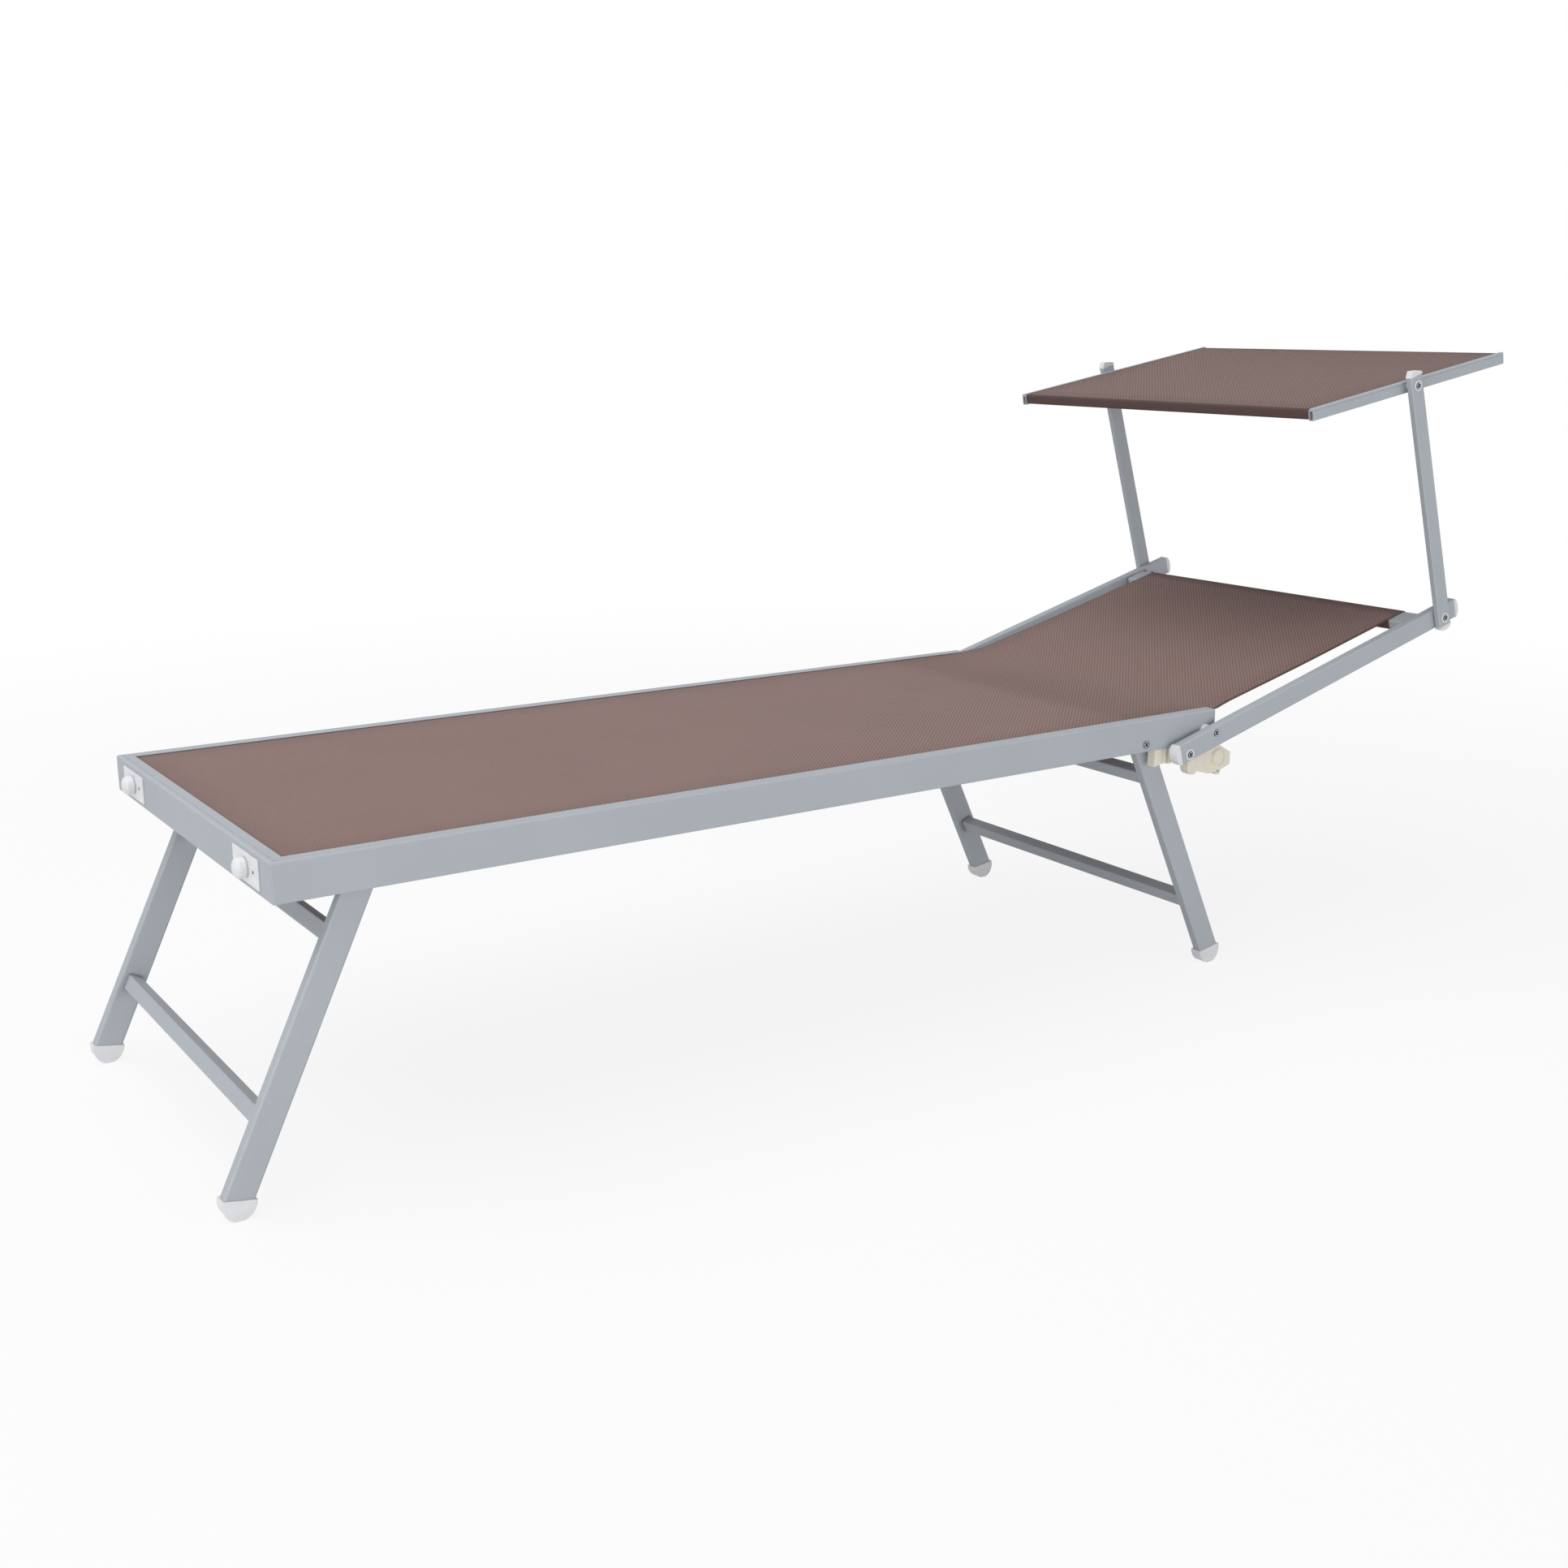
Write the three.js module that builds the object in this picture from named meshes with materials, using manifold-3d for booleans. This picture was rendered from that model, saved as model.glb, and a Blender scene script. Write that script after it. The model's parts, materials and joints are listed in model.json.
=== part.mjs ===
// Folding aluminium sun lounger with a tilting canopy.
// Millimetres, +Z up, +X toward the head end, +Y toward the right hand of a person lying down.
// The near side in the views is the left side, at negative Y. The ground is at Z = 0.
import * as THREE from "three";
import { mergeVertices } from "three/addons/utils/BufferGeometryUtils.js";
import Module from "manifold-3d";

const wasm = await Module();
wasm.setup();

// General sizes
const BED_LENGTH = 1414.5;
const BED_WIDTH = 600;
const BED_TOP = 406;
const SEAT = 0.15;
const RUNNING_GAP = 0.4;
const WELD_TOLERANCE = 0.0005;
const REACH_FACTOR = 3;

// Main rails
const RAIL_HEIGHT = 47;
const RAIL_THICKNESS = 19;
const RAIL_WALL = 1.6;
const RAIL_ROUND = 2.6;
const RAIL_EDGE = 0.8;
const RAIL_FOOT_ROUND = 1.5;
const RAIL_HEAD_DEPTH = 9;
const RAIL_LINE_INSET = 7;
const RAIL_LINE_SIZE = 0.5;

// Bed fabric and the cord that holds its hem in the rails
const FABRIC_THICKNESS = 1.2;
const FABRIC_DROP = 1.6;
const FABRIC_CLEARANCE = 0.4;
const CORD_RADIUS = 2.4;
const CORD_CLEARANCE = 0.5;
const CORD_INSET = 6.5;
const CORD_CORNER_CLEARANCE = 12;
const FABRIC_PARTING = 0.5;

// Cross tube between the side rails near the backrest
const CROSS_TUBE_SETBACK = 54.5;
const CROSS_TUBE_WIDTH = 25;
const CROSS_TUBE_HEIGHT = 20;
const CROSS_TUBE_WALL = 1.4;
const CROSS_TUBE_DROP = 8;

// Plates and knobs on the foot rail
const BUMPER_PLATE_WIDTH = 84;
const BUMPER_PLATE_HEIGHT = 35;
const BUMPER_PLATE_THICKNESS = 1.5;
const BUMPER_INSET = 80;
const BUMPER_DROP = 23.4;
const BUMPER_CORNER = 1.5;
const KNOB_RADIUS = 12;
const KNOB_REACH = 14.5;
const KNOB_DOME = 6.5;
const KNOB_NECK_RADIUS = 10.5;
const KNOB_NECK_LENGTH = 2;
const KNOB_STEM_RADIUS = 4;
const KNOB_STEM_LENGTH = 5;
const KNOB_SCREW_OFFSET = 25;
const SMALL_SCREW_RADIUS = 1.9;
const SMALL_SCREW_HEAD = 0.5;
const SMALL_SCREW_SHANK_RADIUS = 1.2;
const SMALL_SCREW_LENGTH = 4.2;

// Legs
const LEG_TILT = 25.25;
const LEG_WIDTH = 35;
const LEG_THICKNESS = 15.5;
const LEG_WALL = 1.6;
const LEG_ROUND = 3;
const LEG_STAND = 23.9;
const LEG_CUT_TURN = 15.3;
const LEG_TOP = 32;
const FOOT_LEG_X = 105.5;
const HEAD_LEG_SETBACK = 117.8;
const LEG_PIVOT_INSET = 20.4;
const LEG_PIVOT_RISE = 11.1;
const HINGE_PLATE = 3.2;
const HINGE_PLATE_SEAT = 0.3;
const HINGE_EYE_RADIUS = 9;
const HINGE_PLATE_HIGH = 29;
const HINGE_PLATE_LOW = 10;
const HINGE_PLATE_WIDTH = 30;
const LEG_CAP_MARGIN = 1.7;
const LEG_CAP_DEPTH = 22.6;
const LEG_CAP_RIM = 2.2;
const LEG_CAP_PLUG = 16;
const LEG_CAP_PLUG_ROOT = 5;
const PLUG_CLEARANCE = 0.2;

// Bars between the legs
const LEG_BAR_ALONG = 20;
const LEG_BAR_DEPTH = 18;
const LEG_BAR_WALL = 1.3;
const LEG_BAR_ROUND = 2;
const LEG_BAR_LOWER = 282;
const FOOT_BAR_UPPER = 65;
const HEAD_BAR_UPPER = 54;
const WELD_FLARE = 2;
const WELD_LENGTH = 3.6;
const WELD_FLAT = 0.4;

// Backrest
const BACK_TILT = 15.17;
const BACK_SETBACK = 18.6;
const BACK_DROP = 34.9;
const BACK_GAP = 8;
const BACK_RAIL_HEIGHT = 30.5;
const BACK_RAIL_THICKNESS = 14.7;
const BACK_RAIL_WALL = 1.5;
const BACK_RAIL_ROUND = 2.2;
const BACK_RAIL_START = -72.2;
const BACK_RAIL_END = 546.6;
const BACK_PIVOT_S = -0.8;
const BACK_PIVOT_T = 6.7;
const BACK_PIN_S = -56.8;
const BACK_PIN_T = -5;
const BACK_CAP_BULGE = 6.5;
const BACK_LOW_CAP_BULGE = 8.8;
const BACK_CAP_RIM = 1.2;
const BACK_CAP_PLUG = 12;
const BACK_FABRIC_INSET = 19.5;
const BAR_START = 443;
const BAR_DEPTH = 40;
const BAR_HEIGHT = 15;
const BAR_TOP = 12;
const BAR_WALL = 1.5;
const BAR_ROUND = 3;
const BRACKET_START = 454;
const BRACKET_LENGTH = 39;
const BRACKET_HEIGHT = 25;
const BRACKET_THICKNESS = 2;
const BRACKET_TOP = 12.4;
const BRACKET_ROUND = 4;
const FABRIC_EASE = 0.2;

// Canopy arms
const ARM_S = 506.9;
const ARM_SPACING = 377;
const ARM_TILT = 17.33;
const ARM_WIDTH = 26.5;
const ARM_THICKNESS = 9.9;
const ARM_WALL = 1.2;
const ARM_ROUND = 2;
const ARM_BELOW = 12.4;
const ARM_ABOVE = 14.6;
const ARM_GAP = 1;
const ARM_CAP_BULGE = 7;
const ARM_CROWN_PEAK = 10;
const ARM_CROWN_SHOULDER = 6.3;
const ARM_CROWN_LOW = 3.7;
const ARM_CROWN_FLAT = 7.6;
const ARM_CAP_RIM = 1;
const ARM_CAP_PLUG = 7;

// Canopy
const CANOPY_TILT = 9.9;
const CANOPY_SPACER = 6.7;
const CANOPY_SPACER_RADIUS = 6;
const CANOPY_RAIL_HEIGHT = 17.8;
const CANOPY_RAIL_THICKNESS = 8.5;
const CANOPY_RAIL_WALL = 1.3;
const CANOPY_RAIL_ROUND = 1.2;
const CANOPY_RAIL_HEAD = 4;
const CANOPY_RAIL_DROP = 1.6;
const CANOPY_RAIL_FRONT = 212.2;
const CANOPY_RAIL_REAR = 227.7;
const CANOPY_FABRIC_SETBACK = 1.4;
const CANOPY_FABRIC_DROP = 0.7;
const CANOPY_LEDGE = 1.6;
const CANOPY_LINE_DROP = 3.2;
const CANOPY_LINE_SIZE = 0.6;
const CANOPY_BAR_DEPTH = 14;
const CANOPY_HEM_HEIGHT = 16;
const CANOPY_BAR_ROUND = 3;
const CANOPY_BAR_WALL = 1.3;
const CANOPY_SIDE_EASE = 0.4;

// Bolts and washers
const BOLT_HEAD_RADIUS = 4.8;
const BOLT_HEAD_HEIGHT = 2.4;
const SOCKET_RADIUS = 2.9;
const SOCKET_DEPTH = 1.6;
const BOLT_SHANK_RADIUS = 3;
const WASHER_RADIUS = 7.9;
const WASHER_HEIGHT = 1.5;
const THIN_WASHER_RADIUS = 5.7;
const PIVOT_SPACER_RADIUS = 9;
const LEG_BOLT_HEAD_RADIUS = 6;
const LEG_BOLT_HEAD_HEIGHT = 1.8;
const LEG_BOLT_SHANK_RADIUS = 4;
const NUT_RADIUS = 5.4;
const NUT_HEIGHT = 3.5;
const PIN_RADIUS = 3;
const PIN_REACH = 6;

// Ratchet under the side rails
const RATCHET_INSET = 2.5;
const RATCHET_THICKNESS = 14;
const RATCHET_BLOCK_SETBACK = 98.3;
const RATCHET_BLOCK_LENGTH = 15.1;
const RATCHET_BLOCK_DEPTH = 22.2;
const RATCHET_BLOCK_FRONT_DEPTH = 25.3;
const RATCHET_NECK_DEPTH = 22.6;
const RATCHET_NECK_INSET = 3;
const RATCHET_COLLAR_RADIUS = 7;
const RATCHET_COLLAR_SETBACK = 76;
const RATCHET_FLANGE_SETBACK = 69.5;
const RATCHET_FLANGE_LENGTH = 5;
const RATCHET_FLANGE_DEPTH = 24.3;
const RATCHET_BODY_SETBACK = 30.6;
const RATCHET_BODY_DEPTH = 36;
const RATCHET_KEEL_SETBACK = 9.5;
const RATCHET_KEEL_START_DEPTH = 43.5;
const RATCHET_KEEL_REACH = 13.1;
const RATCHET_KEEL_DEPTH = 50.3;
const RATCHET_FACE_REACH = 58.4;
const RATCHET_FACE_LOW_DEPTH = 41.6;
const RATCHET_FACE_HIGH_DEPTH = 22.8;
const RATCHET_SHOULDER_REACH = 42;
const RATCHET_SHOULDER_DEPTH = 13.6;
const RATCHET_LOBE_RADIUS = 11.2;
const RATCHET_LOBE_SETBACK = 19.6;
const RATCHET_LOBE_DEPTH = 36;
const RATCHET_LOBE_PROUD = 0.7;
const RATCHET_BOSS_RADIUS = 7.5;
const RATCHET_BOSS_DEPTH = 21;
const RATCHET_RIB_WIDTH = 6.2;
const RATCHET_RIB_PROUD = 0.9;
const RATCHET_RIB_SETBACK = 12.2;
const RATCHET_RIB_PITCH = 17.9;
const RATCHET_RIBS = 2;
const RATCHET_RIB_DEPTH = 6;
const RATCHET_RIB_LOW_DEPTH = 42.6;
const RATCHET_DISC_REACH = 31.8;
const RATCHET_DISC_DEPTH = 27.7;
const RATCHET_DISC_RADIUS = 13.6;
const RATCHET_DISC_PROUD = 2.4;
const RATCHET_DISC_GROOVE = 11.8;
const RATCHET_GROOVE_SIZE = 0.8;
const RATCHET_EYE_REACH = 34.3;
const RATCHET_EYE_DEPTH = 48.9;
const RATCHET_EYE_RADIUS = 5.6;
const RATCHET_EYE_HOLE = 2;

// Derived places
const HALF_WIDTH = BED_WIDTH / 2;
const RAIL_BOTTOM = BED_TOP - RAIL_HEIGHT;
const RAIL_INNER = HALF_WIDTH - RAIL_THICKNESS;
const BED_FABRIC_TOP = BED_TOP - FABRIC_DROP;
const BED_FABRIC_BOTTOM = BED_FABRIC_TOP - FABRIC_THICKNESS;
const CORD_Z = BED_FABRIC_TOP - CORD_RADIUS;
const CROSS_TUBE_X = BED_LENGTH - CROSS_TUBE_SETBACK;
const BUMPER_CENTRE_Y = HALF_WIDTH - BUMPER_INSET;
const BUMPER_CENTRE_Z = BED_TOP - BUMPER_DROP;
const BACK_X = BED_LENGTH - BACK_SETBACK;
const BACK_Z = BED_TOP - BACK_DROP;
const BACK_FABRIC_WIDTH = BED_WIDTH - 2 * BACK_FABRIC_INSET;
const BACK_INNER = HALF_WIDTH + BACK_GAP;
const BACK_OUTER = BACK_INNER + BACK_RAIL_THICKNESS;
const HEAD_LEG_X = BED_LENGTH - HEAD_LEG_SETBACK;
const LEG_LENGTH = (RAIL_BOTTOM - LEG_STAND) / Math.cos(THREE.MathUtils.degToRad(LEG_TILT));
const LEG_OUTER = RAIL_INNER - HINGE_PLATE - 2 * HINGE_PLATE_SEAT;
const LEG_INNER = LEG_OUTER - LEG_THICKNESS;
const ARM_INNER = BACK_OUTER + ARM_GAP;
const ARM_OUTER = ARM_INNER + ARM_THICKNESS;
const CANOPY_OUTER = ARM_INNER - CANOPY_SPACER;
const CANOPY_INNER = CANOPY_OUTER - CANOPY_RAIL_THICKNESS;
const FAR = REACH_FACTOR * BED_LENGTH;
const RATCHET_Y0 = RAIL_INNER + RATCHET_INSET;
const RATCHET_Y1 = RATCHET_Y0 + RATCHET_THICKNESS;
const LEG_PIVOT_Z = RAIL_BOTTOM + LEG_PIVOT_RISE;
const headPivot = { x: HEAD_LEG_X - LEG_PIVOT_INSET, z: LEG_PIVOT_Z };
const footPivot = { x: FOOT_LEG_X + LEG_PIVOT_INSET, z: LEG_PIVOT_Z };

const turn = THREE.MathUtils.degToRad;

// Places in the tilted plane of the backrest
function backPoint(s, t) {
  const a = turn(BACK_TILT);
  const x = BACK_X + s * Math.cos(a) - t * Math.sin(a);
  const z = BACK_Z + s * Math.sin(a) + t * Math.cos(a);
  return { x, z };
}

const BACK_PIVOT = backPoint(BACK_PIVOT_S, BACK_PIVOT_T);
const BACK_PIN = backPoint(BACK_PIN_S, BACK_PIN_T);
const ARM_PIVOT = backPoint(ARM_S, 0);
const CANOPY_PIVOT = {
  x: ARM_PIVOT.x - ARM_SPACING * Math.sin(turn(ARM_TILT)),
  z: ARM_PIVOT.z + ARM_SPACING * Math.cos(turn(ARM_TILT)),
};

// Frames used to place outlines and beams, each given by its origin and its turn in the XZ plane
const backFrame = { x: BACK_X, z: BACK_Z, angle: BACK_TILT };
const armFrame = { x: ARM_PIVOT.x, z: ARM_PIVOT.z, angle: 90 + ARM_TILT };
const canopyFrame = { x: CANOPY_PIVOT.x, z: CANOPY_PIVOT.z, angle: CANOPY_TILT };
const levelFrame = { x: 0, z: 0, angle: 0 };

function frameMatrix(frame, alongS) {
  const a = turn(frame.angle);
  const s = new THREE.Vector3(Math.cos(a), 0, Math.sin(a));
  const t = new THREE.Vector3(-Math.sin(a), 0, Math.cos(a));
  const y = new THREE.Vector3(0, 1, 0);
  const matrix = new THREE.Matrix4();
  if (alongS) {
    matrix.makeBasis(y, t, s);
  } else {
    matrix.makeBasis(s, t, y.negate());
  }
  matrix.setPosition(frame.x, 0, frame.z);
  return matrix;
}

// Solid modelling helpers
function weld(geometry) {
  const bare = geometry.clone();
  bare.deleteAttribute("normal");
  bare.deleteAttribute("uv");
  const welded = mergeVertices(bare, WELD_TOLERANCE);
  const corners = welded.index.array;
  const kept = [];
  for (let i = 0; i < corners.length; i += 3) {
    const [a, b, c] = [corners[i], corners[i + 1], corners[i + 2]];
    if (a !== b && b !== c && a !== c) {
      kept.push(a, b, c);
    }
  }
  welded.setIndex(kept);
  return welded;
}

function toManifold(geometry) {
  const welded = weld(geometry);
  const mesh = new wasm.Mesh({
    numProp: 3,
    vertProperties: new Float32Array(welded.attributes.position.array),
    triVerts: new Uint32Array(welded.index.array),
  });
  return new wasm.Manifold(mesh);
}

function toGeometry(manifold) {
  const mesh = manifold.getMesh();
  const geometry = new THREE.BufferGeometry();
  geometry.setAttribute("position", new THREE.BufferAttribute(mesh.vertProperties, 3));
  geometry.setIndex(new THREE.BufferAttribute(mesh.triVerts, 1));
  return geometry;
}

function join(...geometries) {
  let whole = toManifold(geometries[0]);
  for (const geometry of geometries.slice(1)) {
    whole = whole.add(toManifold(geometry));
  }
  return toGeometry(whole);
}

function cut(geometry, ...tools) {
  let whole = toManifold(geometry);
  for (const tool of tools) {
    whole = whole.subtract(toManifold(tool));
  }
  return toGeometry(whole);
}

function keep(geometry, region) {
  return toGeometry(toManifold(geometry).intersect(toManifold(region)));
}

function mirrored(geometry, axis) {
  const scale = new THREE.Vector3(1, 1, 1);
  scale[axis] = -1;
  const flipped = weld(geometry);
  flipped.scale(scale.x, scale.y, scale.z);
  const corners = flipped.index.array;
  for (let i = 0; i < corners.length; i += 3) {
    const second = corners[i + 1];
    corners[i + 1] = corners[i + 2];
    corners[i + 2] = second;
  }
  return flipped;
}

// Outlines
function roundedOutline(width, height, radius, centreX = 0, centreY = 0) {
  const radii = Array.isArray(radius) ? radius : [radius, radius, radius, radius];
  const signs = [[1, -1], [1, 1], [-1, 1], [-1, -1]];
  const shape = new THREE.Shape();
  for (const [i, [sx, sy]] of signs.entries()) {
    const x = centreX + sx * (width / 2 - radii[i]);
    const y = centreY + sy * (height / 2 - radii[i]);
    const start = (i - 1) * Math.PI / 2;
    shape.absarc(x, y, radii[i], start, start + Math.PI / 2);
  }
  shape.closePath();
  return shape;
}

function boxOutline(x0, y0, x1, y1) {
  const shape = new THREE.Shape();
  shape.moveTo(x0, y0);
  shape.lineTo(x1, y0);
  shape.lineTo(x1, y1);
  shape.lineTo(x0, y1);
  shape.closePath();
  return shape;
}

function pointOutline(points) {
  return new THREE.Shape(points.map(([x, y]) => new THREE.Vector2(x, y)));
}

function ringOutline(radius, hole, x = 0, y = 0) {
  const shape = new THREE.Shape();
  shape.absarc(x, y, radius, 0, Math.PI * 2);
  if (hole > 0) {
    const inner = new THREE.Path();
    inner.absarc(x, y, hole, 0, Math.PI * 2);
    shape.holes.push(inner);
  }
  return shape;
}

function tubeOutline(width, height, wall, radius, centreX = 0, centreY = 0) {
  const shape = roundedOutline(width, height, radius, centreX, centreY);
  const w = width / 2 - wall;
  const h = height / 2 - wall;
  const hole = boxOutline(centreX - w, centreY - h, centreX + w, centreY + h);
  shape.holes.push(new THREE.Path(hole.getPoints()));
  return shape;
}

// Solids from outlines: every arc of an outline gets the given even number of straight sides
function extrude(shape, depth, sides) {
  return new THREE.ExtrudeGeometry(shape, {
    depth,
    bevelEnabled: false,
    curveSegments: sides / 2,
  });
}

// An outline in the (s, t) plane of a frame, filled from y0 to y1
function slab(shape, y0, y1, frame = levelFrame, sides = 4) {
  const geometry = extrude(shape, y1 - y0, sides);
  geometry.translate(0, 0, -y1);
  geometry.applyMatrix4(frameMatrix(frame, false));
  return geometry;
}

// A section in (y, t) run along s from s0 to s1
function beam(shape, s0, s1, frame = levelFrame, sides = 4) {
  const geometry = extrude(shape, s1 - s0, sides);
  geometry.translate(0, 0, s0);
  geometry.applyMatrix4(frameMatrix(frame, true));
  return geometry;
}

// A round pin along Y between y0 and y1
function pin(radius, y0, y1, x, z, sides = 20, hole = 0) {
  return slab(ringOutline(radius, hole, x, z), y0, y1, levelFrame, sides);
}

function block(x0, x1, y0, y1, z0, z1) {
  const geometry = new THREE.BoxGeometry(x1 - x0, y1 - y0, z1 - z0);
  geometry.translate((x0 + x1) / 2, (y0 + y1) / 2, (z0 + z1) / 2);
  return geometry;
}

// Six-sided socket in a bolt head
function socket(x, z, y0, y1) {
  return slab(ringOutline(SOCKET_RADIUS, 0, x, z), y0, y1, levelFrame, 6);
}

// A bolt on the right side, head outward: under the head at y, tip at yTip
function bolt(point, y, yTip, headRadius, headHeight, shankRadius) {
  const head = pin(headRadius, y, y + headHeight, point.x, point.z);
  const shank = pin(shankRadius, yTip, y + headHeight / 2, point.x, point.z, 12);
  const hollow = socket(point.x, point.z, y + headHeight - SOCKET_DEPTH, y + headHeight + SEAT);
  return cut(join(head, shank), hollow);
}

// Rounded plastic cap closing the end of a tube that runs along s, bulging toward +s
function tubeCap(height, thickness, wall, bulge, rim, plug, frame, yMid, s, t = 0) {
  const half = height / 2;
  const outline = new THREE.Shape();
  outline.moveTo(s + SEAT, t - half);
  outline.lineTo(s + SEAT + rim, t - half);
  outline.absellipse(s + SEAT + rim, t, bulge, half, -Math.PI / 2, Math.PI / 2);
  outline.lineTo(s + SEAT, t + half);
  outline.closePath();
  return plugged(outline, height, thickness, wall, rim, plug, frame, yMid, s, t);
}

// Cap of that outline with the stem that fills the tube
function plugged(outline, height, thickness, wall, rim, plug, frame, yMid, s, t = 0) {
  const body = slab(outline, yMid - thickness / 2, yMid + thickness / 2, frame, 10);
  const w = thickness / 2 - wall - PLUG_CLEARANCE;
  const h = height / 2 - wall - PLUG_CLEARANCE;
  const stem = boxOutline(s - plug, t - h, s + SEAT + rim, t + h);
  return join(body, slab(stem, yMid - w, yMid + w, frame));
}

// Group and materials
const group = new THREE.Group();
group.name = "sun_lounger_with_canopy";

const aluminium = new THREE.MeshStandardMaterial({ color: 0xb0b5bd, metalness: 0.6, roughness: 0.4 });
const steel = new THREE.MeshStandardMaterial({ color: 0x8f9296, metalness: 0.9, roughness: 0.3 });
const white = new THREE.MeshStandardMaterial({ color: 0xe6e6ea, roughness: 0.5 });
const cream = new THREE.MeshStandardMaterial({ color: 0xe8e3d2, roughness: 0.5 });
const brown = new THREE.MeshStandardMaterial({ color: 0x7d6a64, roughness: 0.9 });

const pieces = [];

function piece(name, geometry, material) {
  const welded = weld(geometry);
  welded.computeVertexNormals();
  const mesh = new THREE.Mesh(welded, material);
  mesh.name = name;
  pieces.push(mesh);
}

// A pair built on the right side and mirrored to the left
function pair(name, geometry, material) {
  piece(`${name}_right`, geometry, material);
  piece(`${name}_left`, mirrored(geometry, "y"), material);
}

// Main rails: a hollow box with a solid head that carries the cord channel
function railSection() {
  const radii = [RAIL_FOOT_ROUND, RAIL_ROUND, RAIL_EDGE, RAIL_FOOT_ROUND];
  const shape = roundedOutline(RAIL_THICKNESS, RAIL_HEIGHT, radii);
  const w = RAIL_THICKNESS / 2 - RAIL_WALL;
  const low = -RAIL_HEIGHT / 2 + RAIL_WALL;
  const high = RAIL_HEIGHT / 2 - RAIL_HEAD_DEPTH;
  shape.holes.push(new THREE.Path(boxOutline(-w, low, w, high).getPoints()));
  return shape;
}

// Cord channel, the slot the fabric leaves by, and the fine line along the rail's top
function channelTools(length0, length1) {
  const top = RAIL_HEIGHT / 2;
  const inner = -RAIL_THICKNESS / 2;
  const cordY = inner + CORD_INSET;
  const cordT = top - FABRIC_DROP - CORD_RADIUS;
  const hole = ringOutline(CORD_RADIUS + CORD_CLEARANCE, 0, cordY, cordT);
  const slotTop = top - FABRIC_DROP + FABRIC_CLEARANCE;
  const slotLow = slotTop - FABRIC_THICKNESS - 2 * FABRIC_CLEARANCE;
  const slot = boxOutline(inner - RAIL_ROUND, slotLow, cordY, slotTop);
  const lineY = -inner - RAIL_LINE_INSET;
  const line = boxOutline(lineY, top - RAIL_LINE_SIZE, lineY + RAIL_LINE_SIZE, top + RAIL_ROUND);
  return [
    beam(hole, length0, length1, levelFrame, 10),
    beam(slot, length0, length1),
    beam(line, length0, length1),
  ];
}

function railBlank(length0, length1) {
  const over = RAIL_THICKNESS;
  return cut(beam(railSection(), length0, length1), ...channelTools(length0 - over, length1 + over));
}

// A round post along Z
function post(radius, z0, z1, x, y, sides = 12) {
  const geometry = extrude(ringOutline(radius, 0, x, y), z1 - z0, sides);
  geometry.translate(0, 0, z0);
  return geometry;
}

// A round pin along X
function pinAlongX(radius, x0, x1, y, z, sides = 12) {
  return beam(ringOutline(radius, 0, y, z), x0, x1, levelFrame, sides);
}

function upright(outline) {
  const geometry = extrude(outline, RAIL_HEIGHT * 2, 1);
  geometry.translate(0, 0, RAIL_BOTTOM - RAIL_HEIGHT / 2);
  return geometry;
}

function sideRail() {
  const rail = railBlank(0, BED_LENGTH);
  rail.translate(0, HALF_WIDTH - RAIL_THICKNESS / 2, BED_TOP - RAIL_HEIGHT / 2);
  const far = RAIL_HEIGHT;
  const mitre = upright(pointOutline([
    [-far, HALF_WIDTH + far + SEAT],
    [-far, RAIL_INNER - far],
    [RAIL_THICKNESS + far + SEAT, RAIL_INNER - far],
    [-far + SEAT, HALF_WIDTH + far],
  ]));
  const headHole = pin(LEG_BOLT_SHANK_RADIUS + SEAT, 0, FAR, headPivot.x, headPivot.z, 14);
  const backHole = pin(BOLT_SHANK_RADIUS + SEAT, 0, FAR, BACK_PIVOT.x, BACK_PIVOT.z, 14);
  const footHole = pin(LEG_BOLT_SHANK_RADIUS + SEAT, 0, HALF_WIDTH - RAIL_THICKNESS / 2,
    footPivot.x, footPivot.z, 14);
  return cut(rail, mitre, headHole, backHole, footHole);
}

const plateBack = -SEAT;
const plateFront = plateBack - BUMPER_PLATE_THICKNESS;
const knobBase = plateFront - SEAT;

const screwOffsets = [-KNOB_SCREW_OFFSET, KNOB_SCREW_OFFSET];

function knobHole(y) {
  return pinAlongX(KNOB_STEM_RADIUS + SEAT, knobBase - SEAT, knobBase + KNOB_STEM_LENGTH + SEAT,
    y, BUMPER_CENTRE_Z);
}

function screwHole(y) {
  return pinAlongX(SMALL_SCREW_SHANK_RADIUS + SEAT, knobBase, knobBase + SMALL_SCREW_LENGTH + SEAT,
    y, BUMPER_CENTRE_Z);
}

function footRail() {
  const rail = railBlank(-HALF_WIDTH, HALF_WIDTH);
  rail.rotateZ(Math.PI / 2);
  rail.translate(RAIL_THICKNESS / 2, 0, BED_TOP - RAIL_HEIGHT / 2);
  const far = RAIL_HEIGHT;
  const region = upright(pointOutline([
    [-far, -HALF_WIDTH - far],
    [HALF_WIDTH, 0],
    [-far, HALF_WIDTH + far],
  ]));
  const middles = [-BUMPER_CENTRE_Y, BUMPER_CENTRE_Y];
  const screws = middles.flatMap((y) => screwOffsets.map((offset) => screwHole(y + offset)));
  return cut(keep(rail, region), ...middles.map(knobHole), ...screws);
}

pair("side_rail", sideRail(), aluminium);
piece("foot_rail", footRail(), aluminium);

const crossTube = slab(
  tubeOutline(CROSS_TUBE_WIDTH, CROSS_TUBE_HEIGHT, CROSS_TUBE_WALL, BAR_ROUND, CROSS_TUBE_X,
    BED_FABRIC_BOTTOM - CROSS_TUBE_DROP - CROSS_TUBE_HEIGHT / 2),
  -RAIL_INNER + SEAT, RAIL_INNER - SEAT);
piece("head_cross_tube", crossTube, aluminium);

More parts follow.
